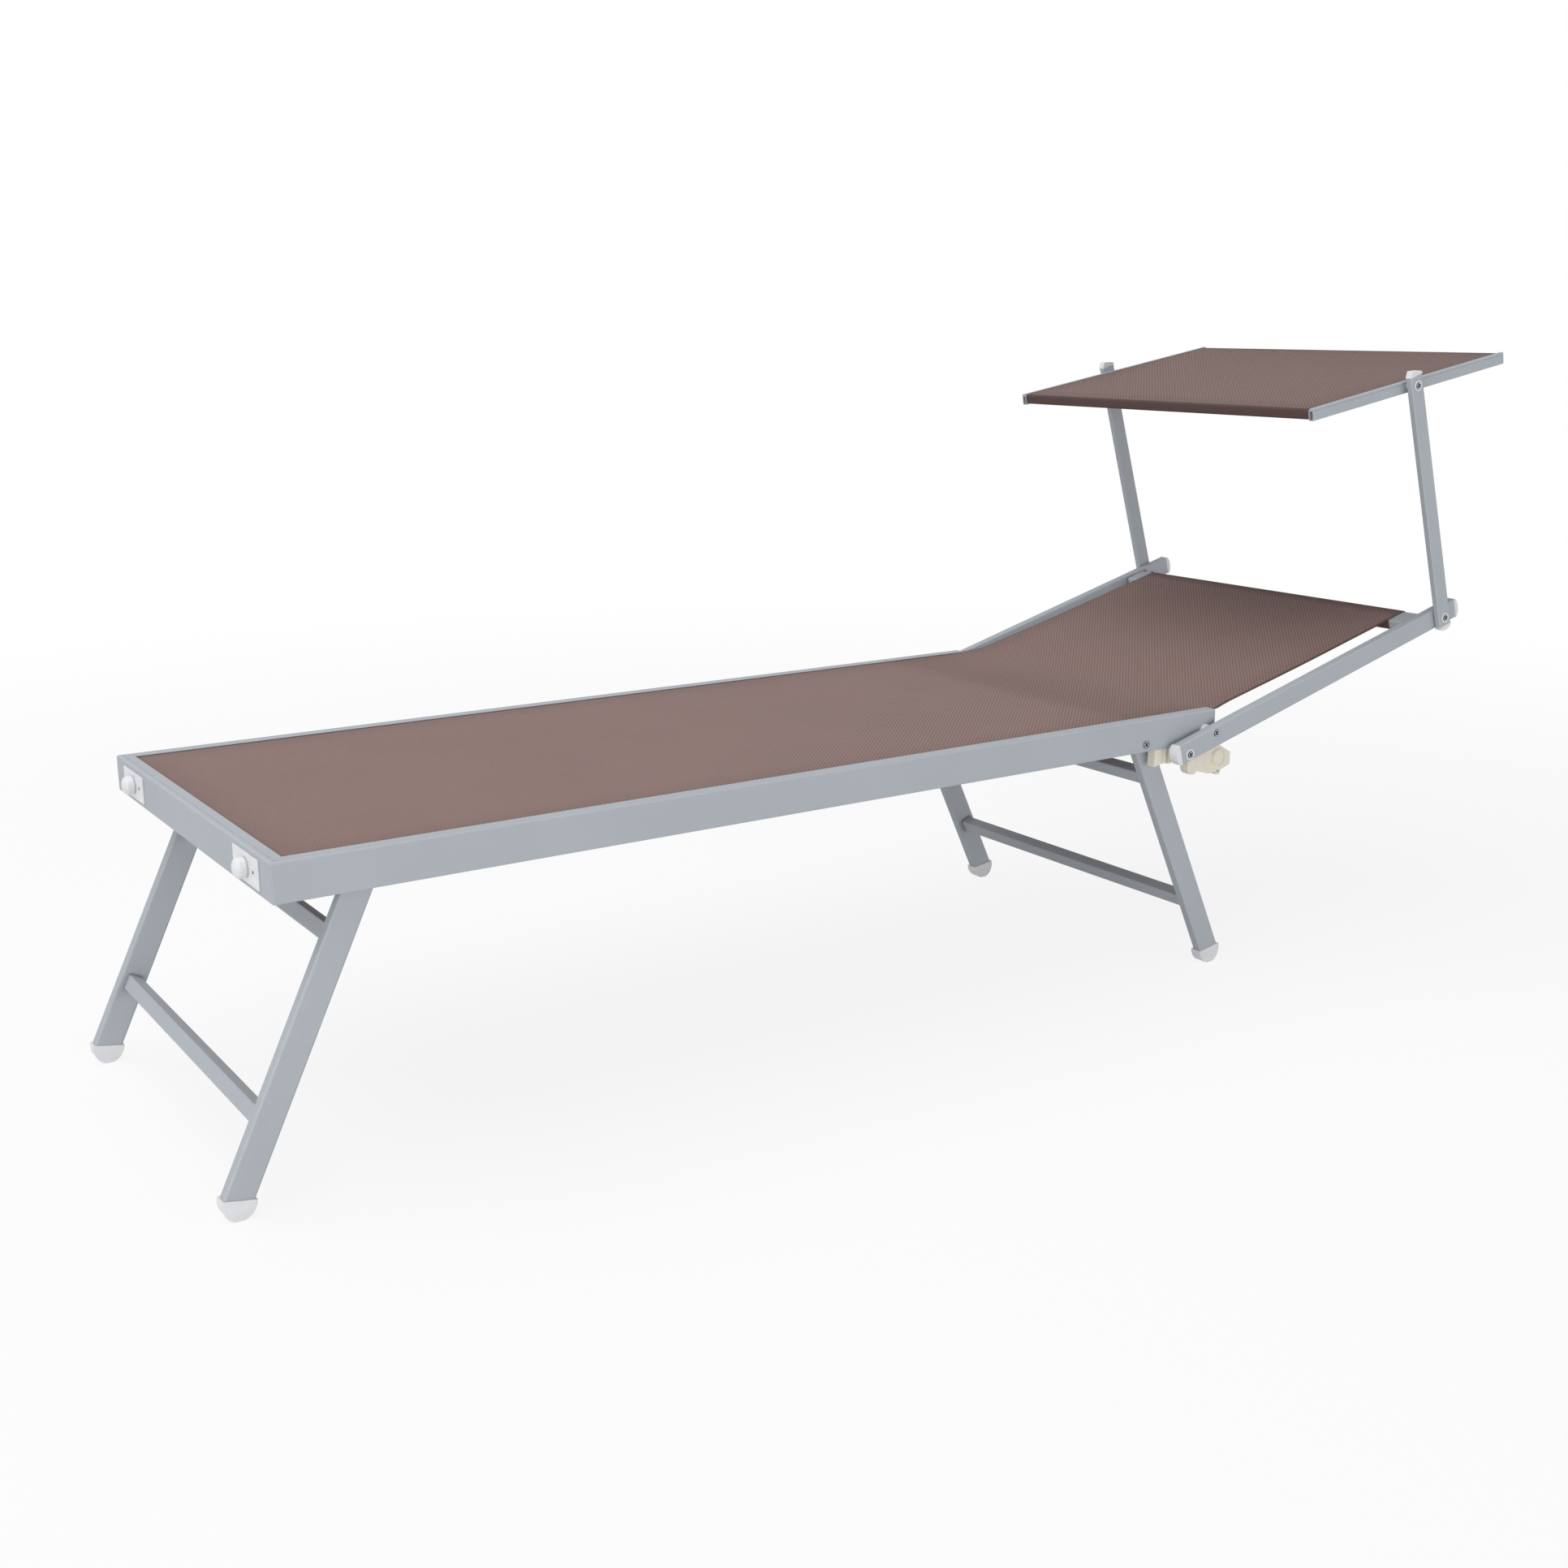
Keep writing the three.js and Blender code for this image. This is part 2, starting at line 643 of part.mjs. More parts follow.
// Bed fabric with the hem cords that sit in the rails' channels
function bedFabric() {
  const x0 = RAIL_THICKNESS - CORD_INSET;
  const y1 = RAIL_INNER + CORD_INSET;
  const sheet = block(x0, BED_LENGTH, -y1, y1, BED_FABRIC_BOTTOM, BED_FABRIC_TOP);
  const start = x0 + CORD_CORNER_CLEARANCE;
  const sides = [-y1, y1].map((y) => pinAlongX(CORD_RADIUS, start, BED_LENGTH, y, CORD_Z));
  const end = y1 - CORD_CORNER_CLEARANCE;
  const foot = pin(CORD_RADIUS, -end, end, x0, CORD_Z, 24);
  return join(sheet, ...sides, foot);
}
piece("bed_sling", bedFabric(), brown);

// Plates, knobs and small screws on the foot rail
function smallScrew(y) {
  const head = pinAlongX(SMALL_SCREW_RADIUS, plateFront - SMALL_SCREW_HEAD, plateFront + SEAT,
    y, BUMPER_CENTRE_Z);
  const shank = pinAlongX(SMALL_SCREW_SHANK_RADIUS, plateFront, knobBase + SMALL_SCREW_LENGTH,
    y, BUMPER_CENTRE_Z);
  return join(head, shank);
}

// A plate with the two screws that are pressed into it
function bumperPlate() {
  const outline = roundedOutline(BUMPER_PLATE_WIDTH, BUMPER_PLATE_HEIGHT, BUMPER_CORNER,
    BUMPER_CENTRE_Y, BUMPER_CENTRE_Z);
  const plate = cut(beam(outline, plateFront, plateBack), knobHole(BUMPER_CENTRE_Y));
  return join(plate, ...screwOffsets.map((offset) => smallScrew(BUMPER_CENTRE_Y + offset)));
}

function knob() {
  const profile = [
    [0, -KNOB_STEM_LENGTH],
    [KNOB_STEM_RADIUS, -KNOB_STEM_LENGTH],
    [KNOB_STEM_RADIUS, 0],
    [KNOB_NECK_RADIUS, 0],
    [KNOB_NECK_RADIUS, KNOB_NECK_LENGTH],
    [KNOB_RADIUS, KNOB_NECK_LENGTH],
  ];
  const steps = 5;
  for (let i = 0; i <= steps; i += 1) {
    const a = (i / steps) * Math.PI / 2;
    const r = i === steps ? 0 : KNOB_RADIUS * Math.cos(a);
    profile.push([r, KNOB_REACH - KNOB_DOME + KNOB_DOME * Math.sin(a)]);
  }
  const geometry = new THREE.LatheGeometry(profile.map(([r, h]) => new THREE.Vector2(r, h)), 24);
  geometry.rotateZ(Math.PI / 2);
  geometry.translate(knobBase, BUMPER_CENTRE_Y, BUMPER_CENTRE_Z);
  return geometry;
}

pair("bumper_plate", bumperPlate(), steel);
pair("bumper_knob", knob(), white);

// Legs, built at the head end with the leg's middle line crossing the rail's underside at X = 0
const legFrame = { x: 0, z: RAIL_BOTTOM, angle: LEG_TILT - 90 };
const legMid = (LEG_OUTER + LEG_INNER) / 2;
const capFrame = {
  x: LEG_LENGTH * Math.sin(turn(LEG_TILT)),
  z: RAIL_BOTTOM - LEG_LENGTH * Math.cos(turn(LEG_TILT)),
  angle: LEG_TILT - LEG_CUT_TURN,
};
const legRoot = (LEG_OUTER + LEG_INNER) / 2 + LEG_THICKNESS / 2 - LEG_WALL / 2;

// A leg tube with its hinge plate welded to the outer face
function leg() {
  const section = tubeOutline(LEG_THICKNESS, LEG_WIDTH, LEG_WALL, LEG_ROUND, legMid, 0);
  const tube = beam(section, -LEG_TOP, LEG_LENGTH + LEG_WIDTH, legFrame);
  const below = slab(boxOutline(-FAR, -FAR, FAR, 0), 0, HALF_WIDTH, capFrame);
  const face = LEG_OUTER + HINGE_PLATE + HINGE_PLATE_SEAT;
  const half = HINGE_PLATE_WIDTH / 2;
  const strip = slab(boxOutline(-HINGE_PLATE_HIGH, -half, -HINGE_PLATE_LOW, half),
    legRoot, face, legFrame);
  const eye = pin(HINGE_EYE_RADIUS, LEG_OUTER + SEAT, face, -LEG_PIVOT_INSET, LEG_PIVOT_Z, 24);
  const bore = pin(LEG_BOLT_SHANK_RADIUS + SEAT, LEG_OUTER, FAR, -LEG_PIVOT_INSET, LEG_PIVOT_Z, 14);
  return cut(join(tube, strip, eye), below, bore);
}

function legCap() {
  const half = LEG_WIDTH / 2 / Math.cos(turn(LEG_CUT_TURN)) + LEG_CAP_MARGIN;
  const outline = new THREE.Shape();
  outline.moveTo(half, -SEAT);
  outline.lineTo(-half, -SEAT);
  outline.lineTo(-half, -LEG_CAP_RIM);
  outline.absellipse(0, -LEG_CAP_RIM, half, LEG_CAP_DEPTH, Math.PI, 2 * Math.PI);
  outline.closePath();
  const wide = LEG_THICKNESS / 2 + LEG_CAP_MARGIN;
  const body = slab(outline, legMid - wide, legMid + wide, capFrame, 24);
  const ease = LEG_WALL + PLUG_CLEARANCE;
  const section = roundedOutline(LEG_THICKNESS - 2 * ease, LEG_WIDTH - 2 * ease, ease, legMid, 0);
  const plug = beam(section, LEG_LENGTH - LEG_CAP_PLUG, LEG_LENGTH + LEG_CAP_PLUG_ROOT, legFrame, 2);
  const ground = block(-FAR, FAR, -FAR, FAR, -FAR, 0);
  return cut(join(body, plug), ground);
}

function legBar(s) {
  const reach = LEG_INNER - SEAT;
  const solid = roundedOutline(LEG_BAR_ALONG, LEG_BAR_DEPTH, LEG_BAR_ROUND, s, 0);
  const flares = [-reach, reach].map((y) => {
    const flare = new THREE.ExtrudeGeometry(solid, {
      depth: WELD_FLAT,
      bevelEnabled: true,
      bevelThickness: WELD_LENGTH,
      bevelSize: WELD_FLARE,
      bevelSegments: 2,
      curveSegments: 2,
    });
    flare.translate(0, 0, -y);
    flare.applyMatrix4(frameMatrix(legFrame, false));
    return flare;
  });
  const region = block(-FAR, FAR, -reach, reach, -FAR, FAR);
  const w = LEG_BAR_ALONG / 2 - LEG_BAR_WALL;
  const h = LEG_BAR_DEPTH / 2 - LEG_BAR_WALL;
  const hollow = slab(boxOutline(s - w, -h, s + w, h), -HALF_WIDTH, HALF_WIDTH, legFrame);
  return cut(keep(join(slab(solid, -reach, reach, legFrame), ...flares), region), hollow);
}

function shifted(geometry, x) {
  const moved = geometry.clone();
  moved.translate(x, 0, 0);
  return moved;
}

function atFoot(geometry) {
  return shifted(mirrored(geometry, "x"), FOOT_LEG_X);
}

function atHead(geometry) {
  return shifted(geometry, HEAD_LEG_X);
}

for (const [end, place, upper] of [["foot", atFoot, FOOT_BAR_UPPER], ["head", atHead, HEAD_BAR_UPPER]]) {
  pair(`${end}_leg`, place(leg()), aluminium);
  pair(`${end}_leg_cap`, place(legCap()), white);
  piece(`${end}_bar_upper`, place(legBar(upper)), aluminium);
  piece(`${end}_bar_lower`, place(legBar(LEG_BAR_LOWER)), aluminium);
}

// Leg pivot bolts: through the rail at the head, blind from the inside at the foot
const boltTip = LEG_OUTER + SEAT;
pair("head_leg_bolt", bolt(headPivot, HALF_WIDTH + SEAT, boltTip,
  LEG_BOLT_HEAD_RADIUS, LEG_BOLT_HEAD_HEIGHT, LEG_BOLT_SHANK_RADIUS), steel);
pair("foot_leg_bolt", pin(LEG_BOLT_SHANK_RADIUS, boltTip,
  HALF_WIDTH - RAIL_THICKNESS / 2 - SEAT, footPivot.x, footPivot.z, 16), steel);

// Backrest rails with their end caps
const backMid = (BACK_INNER + BACK_OUTER) / 2;
const lowerFrame = { x: BACK_X, z: BACK_Z, angle: BACK_TILT + 180 };

function backRail() {
  const section = tubeOutline(BACK_RAIL_THICKNESS, BACK_RAIL_HEIGHT, BACK_RAIL_WALL,
    BACK_RAIL_ROUND, backMid, 0);
  const rail = beam(section, BACK_RAIL_START, BACK_RAIL_END, backFrame);
  const free = BOLT_SHANK_RADIUS + RUNNING_GAP;
  return cut(
    rail,
    pin(free, 0, FAR, BACK_PIVOT.x, BACK_PIVOT.z, 16),
    pin(BOLT_SHANK_RADIUS + SEAT, 0, FAR, BACK_PIN.x, BACK_PIN.z, 16),
    pin(free, 0, FAR, ARM_PIVOT.x, ARM_PIVOT.z, 16),
  );
}

pair("backrest_rail", backRail(), aluminium);
pair("backrest_cap_upper", tubeCap(BACK_RAIL_HEIGHT, BACK_RAIL_THICKNESS, BACK_RAIL_WALL,
  BACK_CAP_BULGE, BACK_CAP_RIM, BACK_CAP_PLUG, backFrame, backMid, BACK_RAIL_END), white);
pair("backrest_cap_lower", tubeCap(BACK_RAIL_HEIGHT, BACK_RAIL_THICKNESS, BACK_RAIL_WALL,
  BACK_LOW_CAP_BULGE, BACK_CAP_RIM, BACK_CAP_PLUG, lowerFrame, backMid, -BACK_RAIL_START), white);

// Crossbar at the head of the backrest with the end plates welded to it
const barMidS = BAR_START + BAR_DEPTH / 2;
const barMidT = BAR_TOP - BAR_HEIGHT / 2;
const endPlateFace = BACK_INNER - SEAT;

function backrestCrossbar() {
  const reach = endPlateFace - BRACKET_THICKNESS / 2;
  const tube = slab(tubeOutline(BAR_DEPTH, BAR_HEIGHT, BAR_WALL, BAR_ROUND, barMidS, barMidT),
    -reach, reach, backFrame);
  const outline = roundedOutline(BRACKET_LENGTH, BRACKET_HEIGHT, BRACKET_ROUND,
    BRACKET_START + BRACKET_LENGTH / 2, BRACKET_TOP - BRACKET_HEIGHT / 2);
  const plate = slab(outline, endPlateFace - BRACKET_THICKNESS, endPlateFace, backFrame);
  return join(tube, plate, mirrored(plate, "y"));
}

piece("backrest_crossbar", backrestCrossbar(), aluminium);

// Backrest fabric: a straight sheet that ends in a sleeve round the crossbar
function sleeve(s0, s1, t0, t1, round, y, frame) {
  const grow = FABRIC_EASE + FABRIC_THICKNESS;
  const middle = [(s0 + s1) / 2, (t0 + t1) / 2];
  const outer = roundedOutline(s1 - s0 + 2 * grow, t1 - t0 + 2 * grow, round + grow, ...middle);
  const inner = roundedOutline(s1 - s0 + 2 * FABRIC_EASE, t1 - t0 + 2 * FABRIC_EASE,
    round + FABRIC_EASE, ...middle);
  outer.holes.push(new THREE.Path(inner.getPoints(2)));
  return slab(outer, -y, y, frame, 4);
}

function backrestFabric() {
  const a = turn(BACK_TILT);
  const dx = BED_LENGTH + FABRIC_PARTING - BACK_X;
  const dz = BED_FABRIC_TOP - BACK_Z;
  const s0 = dx * Math.cos(a) + dz * Math.sin(a);
  const t0 = -dx * Math.sin(a) + dz * Math.cos(a);
  const s1 = BAR_START + BAR_DEPTH - BAR_ROUND;
  const t1 = BAR_TOP + FABRIC_EASE + FABRIC_THICKNESS;
  const sheet = slab(pointOutline([
    [s0, t0 - FABRIC_THICKNESS],
    [s1, t1 - FABRIC_THICKNESS],
    [s1, t1],
    [s0, t0],
  ]), -BACK_FABRIC_WIDTH / 2, BACK_FABRIC_WIDTH / 2, backFrame);
  const hem = sleeve(BAR_START, BAR_START + BAR_DEPTH, BAR_TOP - BAR_HEIGHT, BAR_TOP,
    BAR_ROUND, BACK_FABRIC_WIDTH / 2, backFrame);
  return join(sheet, hem);
}
piece("backrest_sling", backrestFabric(), brown);

// Bolts with the washer that is pressed on under the head, all built on the right side
function washer(point, inner, outer, y0, y1) {
  return pin(outer, y0, y1, point.x, point.z, 24, inner);
}

function washeredBolt(point, y, yTip, shankRadius, washerRadius) {
  const main = bolt(point, y, yTip, BOLT_HEAD_RADIUS, BOLT_HEAD_HEIGHT, shankRadius);
  const ring = washer(point, shankRadius - SEAT, washerRadius, y, y + WASHER_HEIGHT);
  const hollow = socket(point.x, point.z, y + BOLT_HEAD_HEIGHT - SOCKET_DEPTH, y + BOLT_HEAD_HEIGHT);
  return cut(join(main, ring), hollow);
}

function backPivotBolt() {
  const nutFace = RAIL_INNER - SEAT;
  const main = washeredBolt(BACK_PIVOT, BACK_OUTER + SEAT, nutFace - NUT_HEIGHT / 2,
    BOLT_SHANK_RADIUS, THIN_WASHER_RADIUS);
  const nut = slab(ringOutline(NUT_RADIUS, 0, BACK_PIVOT.x, BACK_PIVOT.z),
    nutFace - NUT_HEIGHT, nutFace, levelFrame, 6);
  return join(main, nut);
}

pair("backrest_bolt", backPivotBolt(), steel);
pair("pivot_spacer", washer(BACK_PIVOT, BOLT_SHANK_RADIUS + SEAT, PIVOT_SPACER_RADIUS,
  HALF_WIDTH + SEAT, BACK_INNER - SEAT), white);
pair("locking_pin", washeredBolt(BACK_PIN, BACK_OUTER + SEAT, BACK_INNER - PIN_REACH,
  PIN_RADIUS, WASHER_RADIUS), steel);

// Ratchet under each side rail: a block and a neck, then the housing that the locking pin passes
const ratchetMid = (RATCHET_Y0 + RATCHET_Y1) / 2;

function ratchetPoint(reach, depth) {
  return [BACK_X + reach, RAIL_BOTTOM - depth];
}

// Block and neck under the rail, in front of the housing
function ratchetArm(top) {
  const front = BACK_X - RATCHET_BLOCK_SETBACK;
  const back = front + RATCHET_BLOCK_LENGTH;
  const wedge = slab(pointOutline([
    [front, top],
    [front, RAIL_BOTTOM - RATCHET_BLOCK_FRONT_DEPTH],
    [back, RAIL_BOTTOM - RATCHET_BLOCK_DEPTH],
    [back, top],
  ]), RATCHET_Y0, RATCHET_Y1);
  const neckLow = RAIL_BOTTOM - RATCHET_NECK_DEPTH;
  const neckEnd = BACK_X - RATCHET_BODY_SETBACK + SEAT;
  const neck = slab(boxOutline(back - SEAT, neckLow, neckEnd, top),
    RATCHET_Y0, RATCHET_Y1 - RATCHET_NECK_INSET);
  const collar = post(RATCHET_COLLAR_RADIUS, neckLow, top, BACK_X - RATCHET_COLLAR_SETBACK,
    ratchetMid, 24);
  const flangeFront = BACK_X - RATCHET_FLANGE_SETBACK;
  const flange = slab(boxOutline(flangeFront, RAIL_BOTTOM - RATCHET_FLANGE_DEPTH,
    flangeFront + RATCHET_FLANGE_LENGTH, top), RATCHET_Y0, RATCHET_Y1);
  return [wedge, neck, collar, flange];
}

// Housing with its lobe, boss, ribs, disc and eye
function ratchetHousing(top) {
  const body = slab(pointOutline([
    [BACK_X - RATCHET_BODY_SETBACK, top],
    ratchetPoint(-RATCHET_BODY_SETBACK, RATCHET_BODY_DEPTH),
    ratchetPoint(-RATCHET_KEEL_SETBACK, RATCHET_KEEL_START_DEPTH),
    ratchetPoint(RATCHET_KEEL_REACH, RATCHET_KEEL_DEPTH),
    ratchetPoint(RATCHET_EYE_REACH, RATCHET_EYE_DEPTH),
    ratchetPoint(RATCHET_FACE_REACH, RATCHET_FACE_LOW_DEPTH),
    ratchetPoint(RATCHET_FACE_REACH, RATCHET_FACE_HIGH_DEPTH),
    ratchetPoint(RATCHET_SHOULDER_REACH, RATCHET_SHOULDER_DEPTH),
    [BED_LENGTH, top],
  ]), RATCHET_Y0, RATCHET_Y1);
  const lobe = pin(RATCHET_LOBE_RADIUS, RATCHET_Y0, RATCHET_Y1 + RATCHET_LOBE_PROUD,
    ...ratchetPoint(-RATCHET_LOBE_SETBACK, RATCHET_LOBE_DEPTH), 28);
  const boss = pin(RATCHET_BOSS_RADIUS, RATCHET_Y1 - SEAT, RATCHET_Y1 + RATCHET_RIB_PROUD,
    ...ratchetPoint(-RATCHET_LOBE_SETBACK, RATCHET_BOSS_DEPTH), 22);
  const ribs = [];
  for (let i = 0; i < RATCHET_RIBS; i += 1) {
    const [x, low] = ratchetPoint(i * RATCHET_RIB_PITCH - RATCHET_RIB_SETBACK, RATCHET_RIB_LOW_DEPTH);
    ribs.push(slab(boxOutline(x, low, x + RATCHET_RIB_WIDTH, RAIL_BOTTOM - RATCHET_RIB_DEPTH),
      RATCHET_Y1 - SEAT, RATCHET_Y1 + RATCHET_RIB_PROUD));
  }
  const [discX, discZ] = ratchetPoint(RATCHET_DISC_REACH, RATCHET_DISC_DEPTH);
  const disc = pin(RATCHET_DISC_RADIUS, RATCHET_Y1 - SEAT, RATCHET_Y1 + RATCHET_DISC_PROUD,
    discX, discZ, 30);
  const eye = pin(RATCHET_EYE_RADIUS, RATCHET_Y0, RATCHET_Y1,
    ...ratchetPoint(RATCHET_EYE_REACH, RATCHET_EYE_DEPTH), 20);
  return [body, lobe, boss, ...ribs, disc, eye];
}

function ratchet() {
  const top = RAIL_BOTTOM - SEAT;
  const groove = pin(RATCHET_DISC_GROOVE, RATCHET_Y1 + RATCHET_DISC_PROUD - RATCHET_GROOVE_SIZE,
    BACK_INNER, ...ratchetPoint(RATCHET_DISC_REACH, RATCHET_DISC_DEPTH), 30,
    RATCHET_DISC_GROOVE - RATCHET_GROOVE_SIZE);
  const eyeHole = pin(RATCHET_EYE_HOLE, 0, FAR,
    ...ratchetPoint(RATCHET_EYE_REACH, RATCHET_EYE_DEPTH), 14);
  const above = block(-FAR, FAR, -FAR, FAR, top, FAR);
  return cut(join(...ratchetArm(top), ...ratchetHousing(top)), groove, eyeHole, above);
}

pair("ratchet_housing", ratchet(), cream);

// Canopy arms with caps, bolts and washers
const armMid = (ARM_INNER + ARM_OUTER) / 2;
const armDown = { x: ARM_PIVOT.x, z: ARM_PIVOT.z, angle: armFrame.angle + 180 };

function armTube() {
  const section = tubeOutline(ARM_THICKNESS, ARM_WIDTH, ARM_WALL, ARM_ROUND, armMid, 0);
  const tube = beam(section, -ARM_BELOW, ARM_SPACING + ARM_ABOVE, armFrame);
  const bore = BOLT_SHANK_RADIUS + SEAT;
  return cut(
    tube,
    pin(bore, 0, FAR, ARM_PIVOT.x, ARM_PIVOT.z, 16),
    pin(bore, 0, FAR, CANOPY_PIVOT.x, CANOPY_PIVOT.z, 16),
  );
}

pair("canopy_arm", armTube(), aluminium);

// Upper arm cap: a crown with flat sides, highest towards the foot
function armCrown() {
  const s = ARM_SPACING + ARM_ABOVE;
  const half = ARM_WIDTH / 2;
  const outline = pointOutline([
    [s + SEAT, -half],
    [s + ARM_CROWN_LOW, -half],
    [s + ARM_CROWN_SHOULDER, -ARM_CROWN_FLAT],
    [s + ARM_CROWN_PEAK, ARM_CROWN_FLAT],
    [s + SEAT + ARM_CAP_RIM, half],
    [s + SEAT, half],
  ]);
  return plugged(outline, ARM_WIDTH, ARM_THICKNESS, ARM_WALL, ARM_CAP_RIM, ARM_CAP_PLUG,
    armFrame, armMid, s);
}

pair("arm_cap_upper", armCrown(), white);
pair("arm_cap_lower", tubeCap(ARM_WIDTH, ARM_THICKNESS, ARM_WALL, ARM_CAP_BULGE, ARM_CAP_RIM,
  ARM_CAP_PLUG, armDown, armMid, ARM_BELOW), white);

// The lower arm bolt also carries a thin collar that keeps the arm off the backrest rail
const armFace = ARM_OUTER + SEAT;
const lowerCollar = washer(ARM_PIVOT, 0, WASHER_RADIUS, BACK_OUTER + SEAT, ARM_INNER - SEAT);
pair("arm_bolt_lower", join(washeredBolt(ARM_PIVOT, armFace, BACK_INNER + SEAT,
  BOLT_SHANK_RADIUS, WASHER_RADIUS), lowerCollar), steel);
pair("arm_bolt_upper", washeredBolt(CANOPY_PIVOT, armFace, CANOPY_INNER + SEAT,
  BOLT_SHANK_RADIUS, WASHER_RADIUS), steel);

// Canopy frame, its spacers and its fabric
const canopyMid = (CANOPY_INNER + CANOPY_OUTER) / 2;
const canopyRailTop = CANOPY_RAIL_HEIGHT / 2 - CANOPY_RAIL_DROP;
const canopyFabricTop = canopyRailTop - CANOPY_FABRIC_DROP;
const canopyFabricBottom = canopyFabricTop - FABRIC_THICKNESS;
const fabricFront = -CANOPY_RAIL_FRONT + CANOPY_FABRIC_SETBACK;
const fabricRear = CANOPY_RAIL_REAR - CANOPY_FABRIC_SETBACK;
const wrap = FABRIC_THICKNESS + FABRIC_EASE;
const canopyBarTop = canopyFabricBottom - FABRIC_EASE;
const canopyBarLow = canopyFabricTop - CANOPY_HEM_HEIGHT + wrap;

function canopyRail() {
  const shape = roundedOutline(CANOPY_RAIL_THICKNESS, CANOPY_RAIL_HEIGHT, CANOPY_RAIL_ROUND,
    canopyMid, -CANOPY_RAIL_DROP);
  const w = CANOPY_RAIL_THICKNESS / 2 - CANOPY_RAIL_WALL;
  const low = -CANOPY_RAIL_DROP - CANOPY_RAIL_HEIGHT / 2 + CANOPY_RAIL_WALL;
  const high = canopyRailTop - CANOPY_RAIL_HEAD;
  shape.holes.push(new THREE.Path(boxOutline(canopyMid - w, low, canopyMid + w, high).getPoints()));
  const rail = beam(shape, -CANOPY_RAIL_FRONT, CANOPY_RAIL_REAR, canopyFrame);
  const over = CANOPY_RAIL_THICKNESS;
  const ledge = beam(boxOutline(CANOPY_INNER - over, canopyFabricBottom - SEAT,
    CANOPY_INNER + CANOPY_LEDGE + SEAT, canopyRailTop + over),
  -CANOPY_RAIL_FRONT - over, CANOPY_RAIL_REAR + over, canopyFrame);
  const lineT = canopyRailTop - CANOPY_LINE_DROP;
  const line = beam(boxOutline(CANOPY_OUTER - CANOPY_LINE_SIZE, lineT - CANOPY_LINE_SIZE,
    CANOPY_OUTER + over, lineT), -CANOPY_RAIL_FRONT - over, CANOPY_RAIL_REAR + over, canopyFrame);
  const bore = pin(BOLT_SHANK_RADIUS + RUNNING_GAP, 0, FAR, CANOPY_PIVOT.x, CANOPY_PIVOT.z, 14);
  return cut(rail, ledge, line, bore);
}

function canopyBar(s0) {
  const height = canopyBarTop - canopyBarLow;
  const outline = tubeOutline(CANOPY_BAR_DEPTH, height, CANOPY_BAR_WALL, CANOPY_BAR_ROUND,
    s0 + CANOPY_BAR_DEPTH / 2, canopyBarLow + height / 2);
  return slab(outline, -CANOPY_INNER + SEAT, CANOPY_INNER - SEAT, canopyFrame, 4);
}

function canopyFabric() {
  const wide = CANOPY_INNER + CANOPY_LEDGE;
  const narrow = CANOPY_INNER - CANOPY_SIDE_EASE;
  const top = slab(boxOutline(frontBar, canopyFabricBottom, rearBar + CANOPY_BAR_DEPTH, canopyFabricTop),
    -wide, wide, canopyFrame);
  const hems = [frontBar, rearBar].map((s0) => sleeve(s0, s0 + CANOPY_BAR_DEPTH, canopyBarLow,
    canopyBarTop, CANOPY_BAR_ROUND, narrow, canopyFrame));
  return join(top, ...hems);
}

const frontBar = fabricFront + wrap;
const rearBar = fabricRear - wrap - CANOPY_BAR_DEPTH;
pair("canopy_rail", canopyRail(), aluminium);
piece("canopy_bar_front", canopyBar(frontBar), aluminium);
piece("canopy_bar_rear", canopyBar(rearBar), aluminium);
piece("canopy_fabric", canopyFabric(), brown);
pair("canopy_spacer", washer(CANOPY_PIVOT, BOLT_SHANK_RADIUS + SEAT, CANOPY_SPACER_RADIUS,
  CANOPY_OUTER + SEAT, ARM_INNER - SEAT), white);

// The whole stands with the middle of its footprint at the origin
const bounds = new THREE.Box3();
for (const mesh of pieces) {
  mesh.geometry.computeBoundingBox();
  bounds.union(mesh.geometry.boundingBox);
}
const centreX = (bounds.min.x + bounds.max.x) / 2;
for (const mesh of pieces) {
  mesh.geometry.translate(-centreX, 0, 0);
  group.add(mesh);
}

export default group;
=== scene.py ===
"""Dresses the folding sun lounger: one sling over bed and backrest, the canopy's cover,
their seams, a finish for every metal and plastic part, and a plain white studio."""

import json
import math

import bmesh
import bpy
from bpy.props import FloatProperty, FloatVectorProperty, PointerProperty
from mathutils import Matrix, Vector


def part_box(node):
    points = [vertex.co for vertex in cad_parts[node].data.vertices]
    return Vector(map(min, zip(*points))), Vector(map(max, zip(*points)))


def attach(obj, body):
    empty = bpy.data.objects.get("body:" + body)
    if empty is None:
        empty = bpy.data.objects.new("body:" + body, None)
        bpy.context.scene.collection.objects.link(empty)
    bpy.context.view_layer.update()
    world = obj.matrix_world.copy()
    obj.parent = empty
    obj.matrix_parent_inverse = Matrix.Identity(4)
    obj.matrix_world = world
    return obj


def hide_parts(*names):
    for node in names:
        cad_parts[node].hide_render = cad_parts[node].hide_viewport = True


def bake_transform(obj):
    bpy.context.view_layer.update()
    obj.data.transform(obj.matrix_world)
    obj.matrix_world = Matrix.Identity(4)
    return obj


bl_info = {
    "name": "Sun lounger with canopy",
    "version": (1, 0, 0),
    "blender": (4, 5, 0),
    "location": "View3D > Sidebar > Lounger",
    "description": "Makes the slings, seams, finishes and studio of a folding sun lounger",
    "category": "Object",
}

